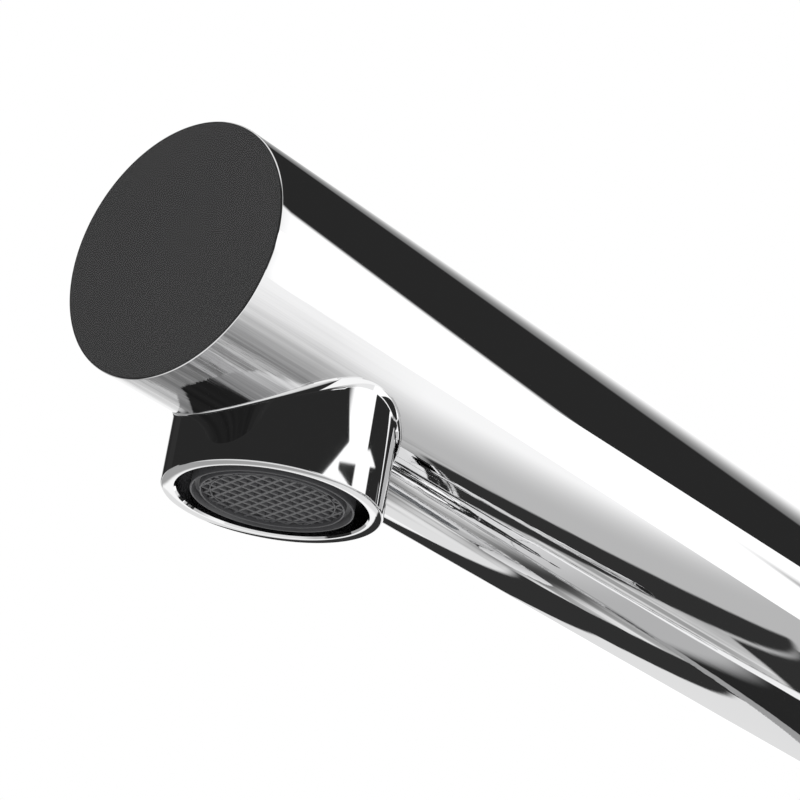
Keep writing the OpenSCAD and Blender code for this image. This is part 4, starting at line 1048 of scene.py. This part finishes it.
# Rows: a level, then the soft edges (value, start, end) inside which it covers the rows before it
for shade, *edges in (
    (0.8, (height, 50, 65)),
    (0.75, (height, 6, -4), (facing, -0.2, 0.2)),
    (back, (facing, 0.2, 0.35)),
    (DARK, (beyond, 1, -1), (height, 60, 50), (height, 14, 16)),
    (DARK, (facing, 0.80, 0.82), (height, 8, 12), (height, 60, 50)),
    (BRIGHT, (slope, 20.74, 20.66), (height, 8, 14), (beyond, -1, 1), (bearing, -8, -4), (bearing, 84, 80)),
    (DARK, *slit, (bearing, 15, 18), (bearing, 39, 36)),
    (DARK, *slit, (bearing, 58, 60), (bearing, 85, 80)),
):
    level = paint.layer(level, shade, *edges)
print("room painted with", len(room.nodes), "nodes")


# %% What each kind of ray sees of the room
def choose(tree, share, no, yes):
    """One shader or the other, by this kind of ray or this share."""
    return add_node(tree, "MixShader", {0: share, 1: no, 2: yes}).outputs[0]


WHITE = (1, 1, 1, 1)
mirror_view, soft_light, backdrop = (
    add_node(room, "Background", {"Color": color, "Strength": strength}).outputs[0]
    for color, strength in ((level, 1.0), (WHITE, 0.75), (WHITE, 1.0)))
ray = add_node(room, "LightPath").outputs
lit = choose(room, ray["Is Glossy Ray"], soft_light, mirror_view)
add_node(room, "OutputWorld", {"Surface": choose(room, ray["Is Camera Ray"], lit, backdrop)})

# %% [markdown]
# The floor is a plain pale sheet. Its mirror image, which only mirror rays see, is a painted
# reflection: under the spout, painted black cards lie on it behind the column, with a painted grey
# fall-off to their right, painted streaks, a painted soft shadow between them and a painted glare,
# and the sheet ends in front. The cards have straight sides: a place lies inside one when it lies to the
# left of each side, which takes one product and one ramp a side.

# %% Floor
bpy.ops.mesh.primitive_circle_add(vertices=96, radius=6, fill_type="NGON", location=(0, 0, 0))
floor = bpy.context.object
floor.name = "floor"
floor_paint = bpy.data.materials.new("floor_paint")
floor_paint.use_nodes = True
ground = floor_paint.node_tree
floor_shader = ground.nodes["Principled BSDF"]
floor_shader.inputs["Base Color"].default_value = (0.86, 0.86, 0.86, 1)
floor_shader.inputs["Roughness"].default_value = 0.7
floor.data.materials.append(floor_paint)
paint = Painter(ground)
spot = add_node(ground, "TexCoord").outputs["Object"]
x, y, _ = add_node(ground, "SeparateXYZ", {0: spot}).outputs


def left_of(start, end):
    """Distance of a place on the floor to the left of the line from start to end, in metres."""
    run = Vector(end) - Vector(start)
    aside = Vector((-run.y, run.x)).normalized()
    across = paint.math("MULTIPLY_ADD", y, aside.y, paint.math("MULTIPLY", x, aside.x))
    return paint.math("SUBTRACT", across, aside.dot(Vector(start)))


def card(corners, soft=0.008):
    """Mask of a card on the floor, from its corners in order round to the left."""
    sides = [left_of(a, b) for a, b in zip(corners, corners[1:] + corners[:1])]
    return paint.both(*(paint.ramp(side, -soft, soft) for side in sides))


# %% The painted cards, shadow, glare and fall-off of the floor's mirror image
CARDS = [
    [(0.07, 0.66), (0.34, 0.70), (1.25, 1.84), (0.42, 1.04), (0.07, 0.69)],
    [(-0.55, 1.00), (0.42, 1.06), (1.00, 1.60), (-0.45, 1.20)],
    [(-1.50, 1.575), (-0.60, 0.96), (-0.42, 1.10), (-1.45, 1.79)],
    [(-3.60, 3.05), (-1.45, 1.54), (-1.40, 1.76), (-3.60, 3.85)],
]
SHADOW = [(-0.62, 0.95), (-0.40, 0.80), (-0.05, 0.75), (-0.12, 0.84), (-0.40, 0.92)]
GLARE = [(-1.95, 1.35), (-1.40, 1.30), (-1.40, 1.55), (-1.85, 1.75)]
turnwise = paint.math("ARCTAN2", paint.math("ADD", y, 0.2), x)
fan = add_node(ground, "TexNoise", {"W": turnwise, "Scale": 9, "Detail": 5, "Roughness": 0.6},
               noise_dimensions="1D").outputs["Fac"]
fall_off = paint.ramp(left_of((1.25, 1.84), (0.34, 0.70)), 0.1, 0.55, 0.5, 1.0)
level = paint.layer(0.78, fall_off, (x, 0.25, 0.35))
level = paint.over(level, 1.0, card(GLARE, 0.05))
level = paint.layer(level, 0.36, (left_of((-1.3, 1.14), (0, 0.57)), 0.03, -0.03), (x, 0.25, -0.05))
# Painted light and dark streaks across the floor's mirror image
painted_streaks = paint.layer(1.0, paint.ramp(fan, 0.35, 0.62, 0.45, 1.05),
                      (y, 0.40, 0.50), (y, 1.10, 0.95), (x, -1.0, -0.7), (x, 0.5, 0.3))
level = paint.math("MULTIPLY", level, painted_streaks)
level = paint.over(level, 0.05, card(SHADOW, 0.05))
for corners in CARDS:
    level = paint.over(level, 0.03, card(corners))
radius = paint.math("SQRT", paint.math("ADD", paint.math("MULTIPLY", x, x), paint.math("MULTIPLY", y, y)))
near_base = paint.layer(paint.ramp(radius, 0.75, 0.9, 0.78, 0.5), DARK, (radius, 0.98, 1.05))
level = paint.layer(level, near_base, (left_of((2.0, 1.25), (0, 0.30)), 0, 0.05),
                    (left_of((0, 0.34), (-1.3, 0.92)), 0, 0.05))

# %% What each kind of ray sees of the floor
plain = floor_shader.outputs[0]
mirrored, far = (add_node(ground, "Emission", {"Color": color, "Strength": 1.0}).outputs[0]
                 for color in (level, WHITE))
ray = add_node(ground, "LightPath").outputs
sheet = choose(ground, paint.ramp(radius, 0.5, 1.8), plain, far)
direct = choose(ground, ray["Is Camera Ray"], plain, sheet)
seen = choose(ground, ray["Is Glossy Ray"], direct, mirrored)
ground.links.new(seen, ground.nodes["Material Output"].inputs["Surface"])
print("floor painted with", len(ground.nodes), "nodes")

# %% Lamp
bpy.ops.object.light_add(type="AREA", location=(0.9, -1.1, 2.3))
lamp = bpy.context.object
lamp.data.size = 1.2
lamp.data.energy = 22
lamp.visible_glossy = False
lamp.rotation_euler = (Vector((0, 0, 0.4)) - lamp.location).to_track_quat("-Z", "Y").to_euler()
